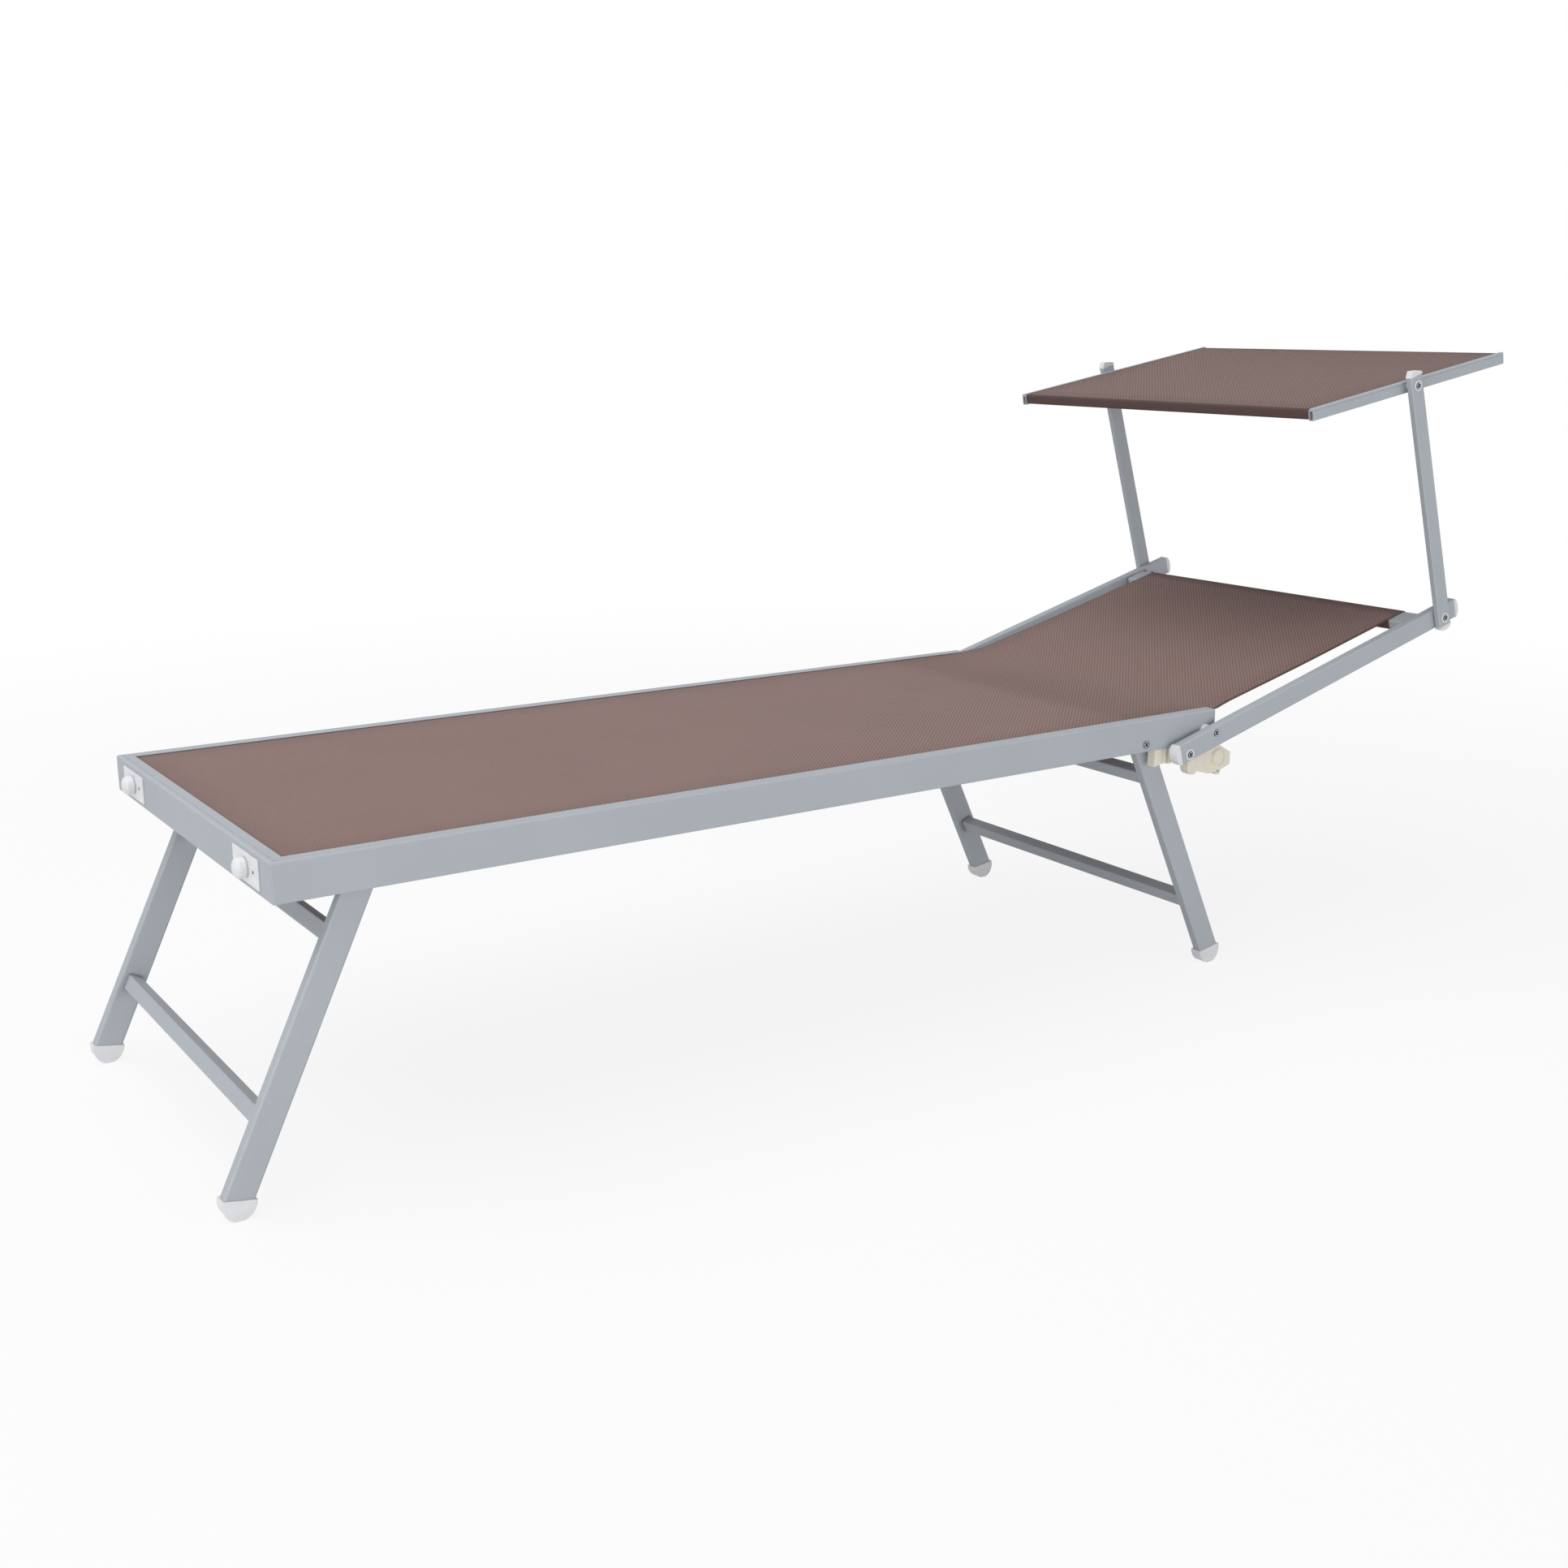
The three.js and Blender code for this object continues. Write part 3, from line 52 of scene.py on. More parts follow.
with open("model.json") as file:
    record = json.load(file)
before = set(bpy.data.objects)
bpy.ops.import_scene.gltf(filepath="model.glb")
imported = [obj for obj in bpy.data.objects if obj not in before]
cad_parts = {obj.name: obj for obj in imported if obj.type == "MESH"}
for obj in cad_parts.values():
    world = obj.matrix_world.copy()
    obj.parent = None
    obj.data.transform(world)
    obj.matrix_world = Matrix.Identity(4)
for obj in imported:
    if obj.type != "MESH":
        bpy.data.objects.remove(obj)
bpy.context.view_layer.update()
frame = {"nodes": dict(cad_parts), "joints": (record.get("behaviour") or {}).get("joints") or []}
BED_LOW, BED_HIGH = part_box("bed_sling")
RAIL_LOW, RAIL_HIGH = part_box("side_rail_left")
FOOT_RAIL_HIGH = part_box("foot_rail")[1]
PIVOTS = {joint["name"]: joint["pos_m"] for joint in frame["joints"]}

# Lengths of the sling from its foot end: in the foot rail's slot, and up to the rails' head ends
HELD_RUN = FOOT_RAIL_HIGH.x - BED_LOW.x
BED_RUN = RAIL_HIGH.x - BED_LOW.x

# How cloth lies round a bar: its gap to the bar, the bar's rounded edges and the cloth's folds
EASE = 0.0002
BAR_ROUND = 0.003
FOLD_ROUND = 0.0016

# Seams: from a seam to the cloth's edge, between two rows, and in from a hem's inner edge
SEAM_MARGIN = 0.004
SEAM_GAP = 0.006
HEM_SEAM = 0.003


# Sizes and colours

LENGTH = {"subtype": "DISTANCE", "unit": "LENGTH"}
ANGLE = {"subtype": "ANGLE", "unit": "ROTATION"}
COLOUR = {"subtype": "COLOR", "size": 3, "min": 0, "max": 1}


class SlingSizes(bpy.types.PropertyGroup):
    thickness: FloatProperty(
        name="Cloth thickness",
        description="Thickness of the coated mesh cloth",
        default=0.0012,
        min=0.0004,
        max=0.003,
        **LENGTH,
    )
    bed_sag: FloatProperty(
        name="Bed sag",
        description="How far the cloth hangs down in the middle of the bed",
        default=0.003,
        min=0,
        max=0.03,
        **LENGTH,
    )
    back_sag: FloatProperty(
        name="Backrest sag",
        description="How far the cloth hangs in halfway up the backrest",
        default=0.003,
        min=0,
        max=0.03,
        **LENGTH,
    )
    bend_length: FloatProperty(
        name="Bend length",
        description="Length of the soft bend between bed and backrest",
        default=0.05,
        min=0.01,
        max=0.1,
        **LENGTH,
    )
    back_slope: FloatProperty(
        name="Backrest slope",
        description="Slope of the backrest rails at rest",
        default=math.radians(15.17),
        **ANGLE,
    )
    low_width: FloatProperty(
        name="Width above the bend",
        description="Width of the sling where its bend ends",
        default=0.559,
        **LENGTH,
    )
    top_width: FloatProperty(
        name="Width at the top",
        description="Width of the sling where it wraps the backrest's bar",
        default=0.556,
        **LENGTH,
    )
    hem: FloatProperty(
        name="Hem width",
        description="Width of the turned hem along the backrest's free edges",
        default=0.018,
        **LENGTH,
    )
    lap: FloatProperty(
        name="Sleeve lap",
        description="Length of cloth that is sewn back under the sling behind the bar",
        default=0.024,
        **LENGTH,
    )


class CanopySizes(bpy.types.PropertyGroup):
    thickness: FloatProperty(
        name="Cloth thickness",
        description="Thickness of the canopy's cloth",
        default=0.0012,
        min=0.0004,
        max=0.003,
        **LENGTH,
    )
    sag: FloatProperty(
        name="Canopy sag",
        description="How far the cloth hangs down in the middle of the canopy",
        default=0.003,
        min=0,
        max=0.01,
        **LENGTH,
    )
    tilt: FloatProperty(
        name="Canopy tilt",
        description="Slope of the canopy at rest",
        default=math.radians(9.9),
        **ANGLE,
    )
    lap: FloatProperty(
        name="Sleeve lap",
        description="Length of cloth that is sewn back under the cover beside each bar",
        default=0.02,
        **LENGTH,
    )


class SeamSizes(bpy.types.PropertyGroup):
    stitch: FloatProperty(
        name="Stitch length",
        description="Length of one stitch",
        default=0.0036,
        **LENGTH,
    )
    pitch: FloatProperty(
        name="Stitch pitch",
        description="Distance from one stitch to the next",
        default=0.0052,
        **LENGTH,
    )
    thread: FloatProperty(
        name="Stitch half width",
        description="Half of the width of a stitch",
        default=0.0007,
        **LENGTH,
    )


class FinishColours(bpy.types.PropertyGroup):
    cloth: FloatVectorProperty(
        name="Cloth",
        description="Colour of the brown coated mesh cloth",
        default=(0.283, 0.192, 0.176),
        **COLOUR,
    )
    cloth_deep: FloatVectorProperty(
        name="Cloth between the threads",
        description="Colour of the cloth between and under its threads",
        default=(0.137, 0.085, 0.076),
        **COLOUR,
    )
    # Painted shade: the canopy's cloth is a darker copy of the sling's
    canopy_tone: FloatProperty(
        name="Canopy tone",
        description="How bright the canopy's cloth is, where 1 is as bright as the sling's",
        default=0.8,
        min=0.5,
        max=1.2,
        subtype="FACTOR",
    )
    thread: FloatVectorProperty(
        name="Sewing thread",
        description="Colour of the seams",
        default=(0.105, 0.070, 0.062),
        **COLOUR,
    )
    aluminium: FloatVectorProperty(
        name="Aluminium",
        description="Colour of the silver coated aluminium",
        default=(0.415, 0.444, 0.480),
        **COLOUR,
    )
    steel: FloatVectorProperty(
        name="Steel",
        description="Colour of the bolts",
        default=(0.52, 0.53, 0.54),
        **COLOUR,
    )
    white: FloatVectorProperty(
        name="White plastic",
        description="Colour of the caps, knobs and washers",
        default=(0.72, 0.73, 0.75),
        **COLOUR,
    )
    cream: FloatVectorProperty(
        name="Cream plastic",
        description="Colour of the ratchets under the side rails",
        default=(0.96, 0.94, 0.87),
        **COLOUR,
    )
    # Painted shade: a tan colour along the ratchets' edges
    cream_edge: FloatVectorProperty(
        name="Cream plastic's edges",
        description="Colour of the ratchets along their edges",
        default=(0.68, 0.62, 0.48),
        **COLOUR,
    )


class StudioSizes(bpy.types.PropertyGroup):
    camera_place: FloatVectorProperty(
        name="Camera place",
        description="Where the camera stands",
        default=(-1.55885, -2.15024, 0.96331),
        size=3,
        subtype="XYZ_LENGTH",
        unit="LENGTH",
    )
    azimuth: FloatProperty(
        name="Azimuth",
        description="Turn of the view about the upright axis",
        default=math.radians(-33.993),
        **ANGLE,
    )
    elevation: FloatProperty(
        name="Elevation",
        description="How far the view looks down",
        default=math.radians(14.160),
        **ANGLE,
    )
    lens: FloatProperty(
        name="Lens",
        description="Focal length in millimetres",
        default=42.498,
        subtype="DISTANCE_CAMERA",
        unit="CAMERA",
    )
    floor_reach: FloatProperty(
        name="Floor reach",
        description="How far the floor runs from the middle of the lounger",
        default=40,
        **LENGTH,
    )
    front_power: FloatProperty(
        name="Front lamp",
        description="Power of the long low lamp to the left of the camera",
        default=92,
        unit="POWER",
    )
    side_power: FloatProperty(
        name="Side lamp",
        description="Power of the low lamp along the near side",
        default=56,
        unit="POWER",
    )
    top_power: FloatProperty(
        name="Top lamp",
        description="Power of the lamp overhead",
        default=152,
        unit="POWER",
    )
    world_strength: FloatProperty(
        name="World",
        description="Strength of the even light from all around",
        default=0.33,
        min=0,
        max=1,
        subtype="FACTOR",
    )


GROUPS = {
    "lounger_sling": SlingSizes,
    "lounger_canopy": CanopySizes,
    "lounger_seams": SeamSizes,
    "lounger_colours": FinishColours,
    "lounger_studio": StudioSizes,
}


# Shader wiring


class Wire:
    """A shader value; sums, differences and products with it add Math nodes."""

    def __init__(self, graph, socket):
        self.graph = graph
        self.socket = socket

    def maths(self, operation, *values):
        return self.graph.add("ShaderNodeMath", {"operation": operation}, *values)

    def __add__(self, other):
        return self.maths("ADD", self, other)

    __radd__ = __add__

    def __sub__(self, other):
        return self.maths("SUBTRACT", self, other)

    def __rsub__(self, other):
        return self.maths("SUBTRACT", other, self)

    def __mul__(self, other):
        return self.maths("MULTIPLY", self, other)

    __rmul__ = __mul__

    def __abs__(self):
        return self.maths("ABSOLUTE", self)

    def sine(self):
        return self.maths("SINE", self)

    def root(self):
        return self.maths("SQRT", self)

    def least(self, other):
        return self.maths("MINIMUM", self, other)

    def greatest(self, other):
        return self.maths("MAXIMUM", self, other)

    def ramp(self, low, high, start=0, end=1):
        """Smoothly from start where this is low to end where it is high."""
        settings = {"interpolation_type": "SMOOTHSTEP"}
        return self.graph.add("ShaderNodeMapRange", settings, self, low, high, start, end)

    def fall(self, low, high):
        """Smoothly from 1 where this is low to 0 where it is high."""
        return self.ramp(low, high, 1, 0)


class Graph:
    """A node tree and the one way by which nodes are added to it."""

    # Numbers of a Mix node's colour sockets, whose names others of its sockets share
    MIX_FACTOR, MIX_FIRST, MIX_SECOND, MIX_RESULT = 0, 6, 7, 2

    # From a flat to an edge, in 1 less the cosine between the softened and the true normal
    EDGE_TURN = (0.004, 0.12)

    def __init__(self, owner):
        owner.use_nodes = True
        self.nodes = owner.node_tree.nodes
        self.links = owner.node_tree.links

    def put(self, socket, value):
        """Links a wire to a socket, or sets its value."""
        if isinstance(value, Wire):
            self.links.new(value.socket, socket)
        elif socket.type == "RGBA" and len(value) == 3:
            socket.default_value = (*value, 1)
        else:
            socket.default_value = value

    def add(self, kind, settings, *values, output=0, numbered=None, **named):
        """A new node: its settings first, then its sockets in order, by number and by name."""
        node = self.nodes.new(kind)
        for name, value in settings.items():
            setattr(node, name, value)
        sockets = dict(enumerate(values))
        sockets.update(numbered or {})
        for name, value in named.items():
            sockets[name.replace("_", " ")] = value
        for key, value in sockets.items():
            self.put(node.inputs[key], value)
        return Wire(self, node.outputs[output])

    def parts(self, kind, settings, *values):
        """All outputs of a new node."""
        node = self.add(kind, settings, *values).socket.node
        return [Wire(self, socket) for socket in node.outputs]

    def split(self, where):
        """The three parts of a place."""
        return self.parts("ShaderNodeSeparateXYZ", {}, where)

    def unlit(self):
        """1 for rays from the camera and for mirrored and refracted ones, else 0."""
        rays = {wire.socket.name: wire for wire in self.parts("ShaderNodeLightPath", {})}
        seen = rays["Is Camera Ray"] + rays["Is Glossy Ray"] + rays["Is Transmission Ray"]
        return seen.least(1)

    def mix(self, share, first, second):
        """A colour from first, where share is 0, to second, where it is 1."""
        colours = {self.MIX_FACTOR: share, self.MIX_FIRST: first, self.MIX_SECOND: second}
        return self.add(
            "ShaderNodeMix", {"data_type": "RGBA"}, output=self.MIX_RESULT, numbered=colours
        )

    def place(self):
        """Object coordinates."""
        return self.add("ShaderNodeTexCoord", {}, output="Object")

    def noise(self, where, scale, detail=3, roughness=0.5):
        return self.add(
            "ShaderNodeTexNoise", {}, Vector=where, Scale=scale, Detail=detail, Roughness=roughness
        )

    def grain(self, where, scales, detail=4, roughness=0.6):
        """Noise with its own scale along each axis, for marks with a direction."""
        stretched = self.add("ShaderNodeMapping", {}, Vector=where, Scale=scales)
        return self.noise(stretched, 1, detail, roughness)

    def relief(self, height, distance, strength, normal=None):
        """Normals bumped by a height of at most distance."""
        values = {"Height": height, "Distance": distance, "Strength": strength}
        if normal is not None:
            values["Normal"] = normal
        return self.add("ShaderNodeBump", {}, **values)

    def rounded(self, radius):
        """Normals softened over each edge."""
        return self.add("ShaderNodeBevel", {"samples": 4}, Radius=radius)

    def edge_share(self, soft):
        """About 1 on an edge that the softened normals round, and 0 on a flat."""
        sharp = self.add("ShaderNodeNewGeometry", {}, output="True Normal")
        dot = {"operation": "DOT_PRODUCT"}
        same = self.add("ShaderNodeVectorMath", dot, soft, sharp, output="Value")
        return (1 - same).ramp(*self.EDGE_TURN)


class Finish(Graph):
    """One material and its shader."""

    def __init__(self, name, **constants):
        self.material = bpy.data.materials.new(name)
        super().__init__(self.material)
        self.shader = self.nodes["Principled BSDF"]
        self.surface(**constants)

    def surface(self, **values):
        """Sets or links the shader's sockets of those names."""
        for name, value in values.items():
            self.put(self.shader.inputs[name.replace("_", " ")], value)


# Finishes


# How far the darkening reaches from a weld, and the black painted as shade in a bolt's cross socket
# and the groove round it
WELD_REACH = (0.0006, 0.0028)
SOCKET_PAINTED_SHADE = (0.008, 0.008, 0.009)

# Radii and half widths of a bolt's cross socket and of the groove round it
ARM_SIDE = (0.0009, 0.0012)
ARM_END = (0.0038, 0.0040)
GROOVE_INSIDE = (0.0044, 0.0046)
GROOVE_OUTSIDE = (0.0053, 0.0056)

# Direction of the cross socket's arms, as cosine and sine
ARM_ALONG, ARM_UP = 0.8, 0.6

# Painted shade in a band across the sling near its bend, from the bed's end: where it starts, is
# darkest and ends
BEND_SHADE_START, BEND_SHADE_DARKEST, BEND_SHADE_END = -0.18, -0.13, 0.04

# How far in from its edges a cloth is shaded, softly and as a line
EDGE_SHADE, EDGE_LINE = 0.06, 0.005


def shaded(colour, share):
    """A colour made darker, or paler where share is above 1."""
    return tuple(min(1, part * share) for part in colour)


def coated_aluminium(name, colour, along, weld=None):
    """Silver powder coat: fine orange peel, a faint drawn grain, and paler edges, a painted
    highlight with a little rubbed wear.

    weld is the distance from the middle at which a bar is welded in, and darkened there."""
    finish = Finish(name, Metallic=0.04, Specular_IOR_Level=0.1)
    where = finish.place()
    grain = finish.grain(where, along)
    cloud = finish.noise(where, 7)
    peel = finish.noise(where, 1500, 2)
    soft = finish.rounded(0.0012)
    edge = finish.edge_share(soft)
    worn = cloud.ramp(0.3, 0.7) * 0.6 + grain.ramp(0.3, 0.7) * 0.4
    body = finish.mix(worn, shaded(colour, 0.955), colour)
    if weld is not None:
        bead = finish.noise(where, 400) * 0.002
        burnt = abs(abs(finish.split(where)[1]) - weld + bead).fall(*WELD_REACH)
        body = finish.mix(burnt * 0.75, body, shaded(colour, 0.3))
    finish.surface(
        # Paler along the edges: a painted highlight, with a little rubbed wear
        Base_Color=finish.mix(edge * 0.8, body, shaded(colour, 1.5)),
        Roughness=0.48 + grain * 0.08 + edge * 0.04 + peel * 0.02,
        Normal=finish.relief(peel * 0.6 + grain * 0.4, 0.00002, 0.3, soft),
    )
    return finish.material


def moulded_plastic(name, colour, glow, rough=0.38, line=None, reach=0.0006):
    """Moulded plastic with a faint mottle, soft scuffs and a little light through it.

    line is a colour painted along its edges as shade, over a width of reach."""
    finish = Finish(
        name, Subsurface_Weight=glow, Subsurface_Scale=0.004, Subsurface_Radius=(1, 1, 1)
    )
    where = finish.place()
    mottle = finish.noise(where, 60)
    scuff = finish.grain(where, (180, 420, 260), roughness=0.7)
    soft = finish.rounded(reach)
    edge = finish.edge_share(soft)
    body = finish.mix(mottle.ramp(0.3, 0.7), shaded(colour, 0.95), colour)
    finish.surface(
        Base_Color=finish.mix(edge * 0.5, body, line or colour),
        Roughness=rough + scuff.ramp(0.45, 0.75) * 0.14 - edge * 0.05,
        Normal=finish.relief(mottle * 0.5 + scuff * 0.5, 0.00003, 0.3, soft),
    )
    return finish.material


def socket_mark(finish, where, centre):
    """Distance from a bolt's axis, and the mask of its cross socket and groove, which get painted
    shade.
    """
    x, _, z = finish.split(where)
    across, up = x - centre.x, z - centre.z
    out = (across * across + up * up).root()
    first = abs(across * ARM_ALONG + up * ARM_UP)
    second = abs(up * ARM_ALONG - across * ARM_UP)
    socket = first.least(second).fall(*ARM_SIDE) * out.fall(*ARM_END)
    groove = out.ramp(*GROOVE_INSIDE) * out.fall(*GROOVE_OUTSIDE)
    return out, socket.greatest(groove)


def turned_steel(name, centre, colour):
    """Bright turned steel with fine marks, and painted shade in its cross socket and the groove
    round it.
    """
    finish = Finish(name)
    where = finish.place()
    _, painted_shade = socket_mark(finish, where, centre)
    marks = finish.grain(where, (900, 200, 900))
    spots = finish.noise(where, 320)
    body = finish.mix(spots.ramp(0.42, 0.62), colour, shaded(colour, 0.72))
    finish.surface(
        Base_Color=finish.mix(painted_shade, body, SOCKET_PAINTED_SHADE),
        Metallic=1 - painted_shade,
        Roughness=0.24 + marks * 0.16 + painted_shade * 0.4,
        Normal=finish.relief(marks * 0.2 - painted_shade, 0.0004, 0.5, finish.rounded(0.0003)),
    )
    return finish.material


def bolt_in_washer(name, centre, head, steel, white):
    """A steel head with a cross socket in a white plastic washer, which starts at radius head. Its
    cross socket and the groove round it get painted shade.
    """
    finish = Finish(name)
    where = finish.place()
    out, painted_shade = socket_mark(finish, where, centre)
    plastic = out.ramp(head, head + 0.0002)
    marks = finish.grain(where, (900, 200, 900))
    mottle = finish.noise(where, 90)
    worn = finish.mix(marks.ramp(0.35, 0.65), shaded(steel, 0.8), steel)
    moulded = finish.mix(mottle.ramp(0.3, 0.7), shaded(white, 0.95), white)
    finish.surface(
        Base_Color=finish.mix(painted_shade, finish.mix(plastic, worn, moulded), SOCKET_PAINTED_SHADE),
        Metallic=(1 - plastic) * (1 - painted_shade),
        Roughness=0.26 + marks * 0.12 + plastic * 0.14 + painted_shade * 0.4,
        Normal=finish.relief(marks * 0.2 - painted_shade, 0.0004, 0.5, finish.rounded(0.0003)),
    )
    return finish.material


def plate_with_screws(name, centre, offset, radius, white, steel):
    """A white moulded plate with two small sunk screw heads, offset to both sides of its centre;
    their slots are painted near black as shade.
    """
    finish = Finish(name, Subsurface_Weight=0.05, Subsurface_Scale=0.003)
    where = finish.place()
    _, y, z = finish.split(where)
    side = abs(abs(abs(y) - centre.y) - offset)
    up = z - centre.z
    screw = (side * side + up * up).root().fall(radius, radius + 0.0002)
    slot = abs(up + side * 0.6).fall(0.0002, 0.0005) * screw
    mottle = finish.noise(where, 60)
    scuff = finish.grain(where, (200, 420, 260), roughness=0.7)
    moulded = finish.mix(mottle.ramp(0.3, 0.7), shaded(white, 0.95), white)
    # The screw's slot is painted near black as shade
    metal = finish.mix(slot, shaded(steel, 0.45), (0.02, 0.02, 0.02))
    finish.surface(
        Base_Color=finish.mix(screw, moulded, metal),
        Metallic=screw * 0.8,
        Roughness=0.36 + scuff * 0.12,
        Normal=finish.relief(mottle * 0.5 + scuff * 0.5, 0.00003, 0.3, finish.rounded(0.0005)),
    )
    return finish.material


def mesh_cloth(name, colour, deep, thread=0.00163):
    """Coated mesh cloth in a two-over-two twill, on the sheet's own map, in metres.

    thread is the distance between threads. Painted shade darkens the cloth along its edges and, on
    the sling, in a band near the bend."""
    finish = Finish(name, Sheen_Weight=0.03, Sheen_Roughness=0.5, Specular_IOR_Level=0.12)
    cut = finish.add("ShaderNodeUVMap", {"uv_map": "cut"})
    along, across, _ = finish.split(cut)
    border = finish.add("ShaderNodeAttribute", {"attribute_name": "border"}, output="Fac")
    half = math.pi / thread
    warp = abs((across * half).sine())
    weft = abs((along * half).sine())
    rib = ((along - across) * (half / 2)).sine()
    over = rib.ramp(-0.45, 0.45)
    height = over * warp + (1 - over) * weft
    cloud = finish.noise(cut, 5)
    slub = finish.grain(cut, (30, 700, 1), 3)
    fleck = finish.grain(cut, (700, 30, 1), 3)
    tone = height * 0.45 + rib * 0.22 + (slub + fleck) * 0.16 + 0.10
    woven = finish.mix(tone.ramp(0.05, 0.85), deep, colour)
    aged = finish.mix(cloud.ramp(0.3, 0.7) * 0.12, woven, shaded(colour, 1.2))
    bend_shade_rise = along.ramp(BED_RUN + BEND_SHADE_START, BED_RUN + BEND_SHADE_DARKEST)
    bend_shade = bend_shade_rise * along.fall(BED_RUN + BEND_SHADE_DARKEST, BED_RUN + BEND_SHADE_END)
    # Painted shade: along the cloth's edges, and in a band across the sling near its bend
    painted_shade = border.fall(0, EDGE_SHADE) * 0.15 + border.fall(0, EDGE_LINE) * 0.56 + bend_shade * 0.20
    finish.surface(
        Base_Color=finish.mix(painted_shade, aged, shaded(deep, 0.5)),
        Roughness=0.62 + (1 - height) * 0.18 + cloud * 0.06,
        Normal=finish.relief(height + rib * 0.3 + (slub + fleck) * 0.15, 0.00025, 0.5),
    )
    return finish.material


def sewing_thread(name, colour):
    """Polyester thread with a fine twist."""
    finish = Finish(name, Sheen_Weight=0.2)
    twist = finish.grain(finish.place(), (2600, 2600, 2600), 2, 0.5)
    finish.surface(
        Base_Color=finish.mix(twist.ramp(0.35, 0.65), colour, shaded(colour, 1.5)),
        Roughness=0.55 + twist * 0.2,
        Normal=finish.relief(twist, 0.0001, 0.5),
    )
    return finish.material


def finish_of(make, name, *values, **named):
    """The material of that name, made once by that function."""
    return bpy.data.materials.get(name) or make(name, *values, **named)


def cloth_finish(context, name, tone):
    """The mesh cloth, as bright as tone says; a tone below 1 is painted shade."""
    colours = context.scene.lounger_colours
    tones = [shaded(colour, tone) for colour in (colours.cloth, colours.cloth_deep)]
    return finish_of(mesh_cloth, name, *tones)


def thread_finish(context):
    """The sewing thread of all the seams."""
    thread = tuple(context.scene.lounger_colours.thread)
    return finish_of(sewing_thread, "brown_sewing_thread", thread)


# Sheets of cloth


class Tilted:
    """A plane seen from the side: s runs up the slope and t stands on it."""

    def __init__(self, x, z, slope):
        self.x, self.z, self.slope = x, z, slope

    def point(self, s, t):
        """The place at s and t."""
        c, n = math.cos(self.slope), math.sin(self.slope)
        return Vector((self.x + s * c - t * n, self.z + s * n + t * c))

    def back(self, x, z):
        """s and t of a place."""
        c, n = math.cos(self.slope), math.sin(self.slope)
        dx, dz = x - self.x, z - self.z
        return dx * c + dz * n, dz * c - dx * n


class Cut:
    """The side line of a sheet, with rounded corners, walked by the cloth's own length."""

    SAME_PLACE = 1e-7

    def __init__(self, corners, step, arc_steps=7):
        points = []
        for k, (place, radius) in enumerate(corners):
            if radius == 0 or k in (0, len(corners) - 1):
                points.append(place)
                continue
            before = (corners[k - 1][0] - place).normalized()
            after = (corners[k + 1][0] - place).normalized()
            half = math.acos(max(-1, min(1, before.dot(after)))) / 2
            back = radius / math.tan(half)
            first, last = place + before * back, place + after * back
            centre = place + (before + after).normalized() * (radius / math.sin(half))
            start, end = first - centre, last - centre
            turn = math.pi - 2 * half
            for i in range(arc_steps + 1):
                share = i / arc_steps
                a, b = math.sin((1 - share) * turn), math.sin(share * turn)
                points.append(centre + (start * a + end * b) / math.sin(turn))
        self.points, self.ways = [points[0]], [0.0]
        for a, b in zip(points, points[1:]):
            long = (b - a).length
            if long < self.SAME_PLACE:
                continue
            parts = max(1, math.ceil(long / step))
            for i in range(1, parts + 1):
                self.points.append(a.lerp(b, i / parts))
                self.ways.append(self.ways[-1] + long / parts)

    @property
    def length(self):
        """Length of the whole line."""
        return self.ways[-1]

    def way_near(self, place):
        """Length along the line at its point nearest to a place."""
        nearest = min(range(len(self.points)), key=lambda k: (self.points[k] - place).length)
        return self.ways[nearest]

    def at(self, way):
        """Place on the line and the direction square to it, to the left of the walk."""
        way = max(0.0, min(self.length, way))
        k = 1
        while k < len(self.ways) - 1 and self.ways[k] < way:
            k += 1
        a, b = self.points[k - 1], self.points[k]
        share = (way - self.ways[k - 1]) / (self.ways[k] - self.ways[k - 1])
        ahead = self.points[min(k + 1, len(self.points) - 1)] - a
        behind = b - self.points[max(k - 2, 0)]
        walk = (behind.normalized() * (1 - share) + ahead.normalized() * share).normalized()
        return a.lerp(b, share), Vector((-walk.y, walk.x))


def cloth_sheet(name, ways, rows, place, border):
    """A sheet from one row of vertices, extruded row by row across and then put in place.

    ways are lengths along the cut, rows are shares of the half width from -1 to 1."""
    mesh = bmesh.new()
    way_of = mesh.verts.layers.float.new("way")
    row_of = mesh.verts.layers.float.new("row")
    first = [mesh.verts.new((way, rows[0], 0)) for way in ways]
    for vertex, way in zip(first, ways):
        vertex[way_of], vertex[row_of] = way, rows[0]
    edges = [mesh.edges.new(pair) for pair in zip(first, first[1:])]
    for before, row in zip(rows, rows[1:]):
        grown = bmesh.ops.extrude_edge_only(mesh, edges=edges)["geom"]
        edges = [e for e in grown if isinstance(e, bmesh.types.BMEdge)]
        fresh = [v for v in grown if isinstance(v, bmesh.types.BMVert)]
        bmesh.ops.translate(mesh, verts=fresh, vec=(0, row - before, 0))
        for vertex in fresh:
            vertex[row_of] = row
    edge_of = mesh.verts.layers.float.new("border")
    flat = {}
    for vertex in mesh.verts:
        way, row = vertex[way_of], vertex[row_of]
        vertex.co = place(way, row)
        vertex[edge_of] = border(way, row)
        flat[vertex] = (way, vertex.co.y)
    cut_map = mesh.loops.layers.uv.new("cut")
    for face in mesh.faces:
        for loop in face.loops:
            loop[cut_map].uv = flat[loop.vert]
        face.smooth = True
    bmesh.ops.recalc_face_normals(mesh, faces=mesh.faces[:])
    rise = sum(face.normal.z * face.calc_area() for face in mesh.faces)
    if rise < 0:
        bmesh.ops.reverse_faces(mesh, faces=mesh.faces[:])
    return finished(name, mesh)


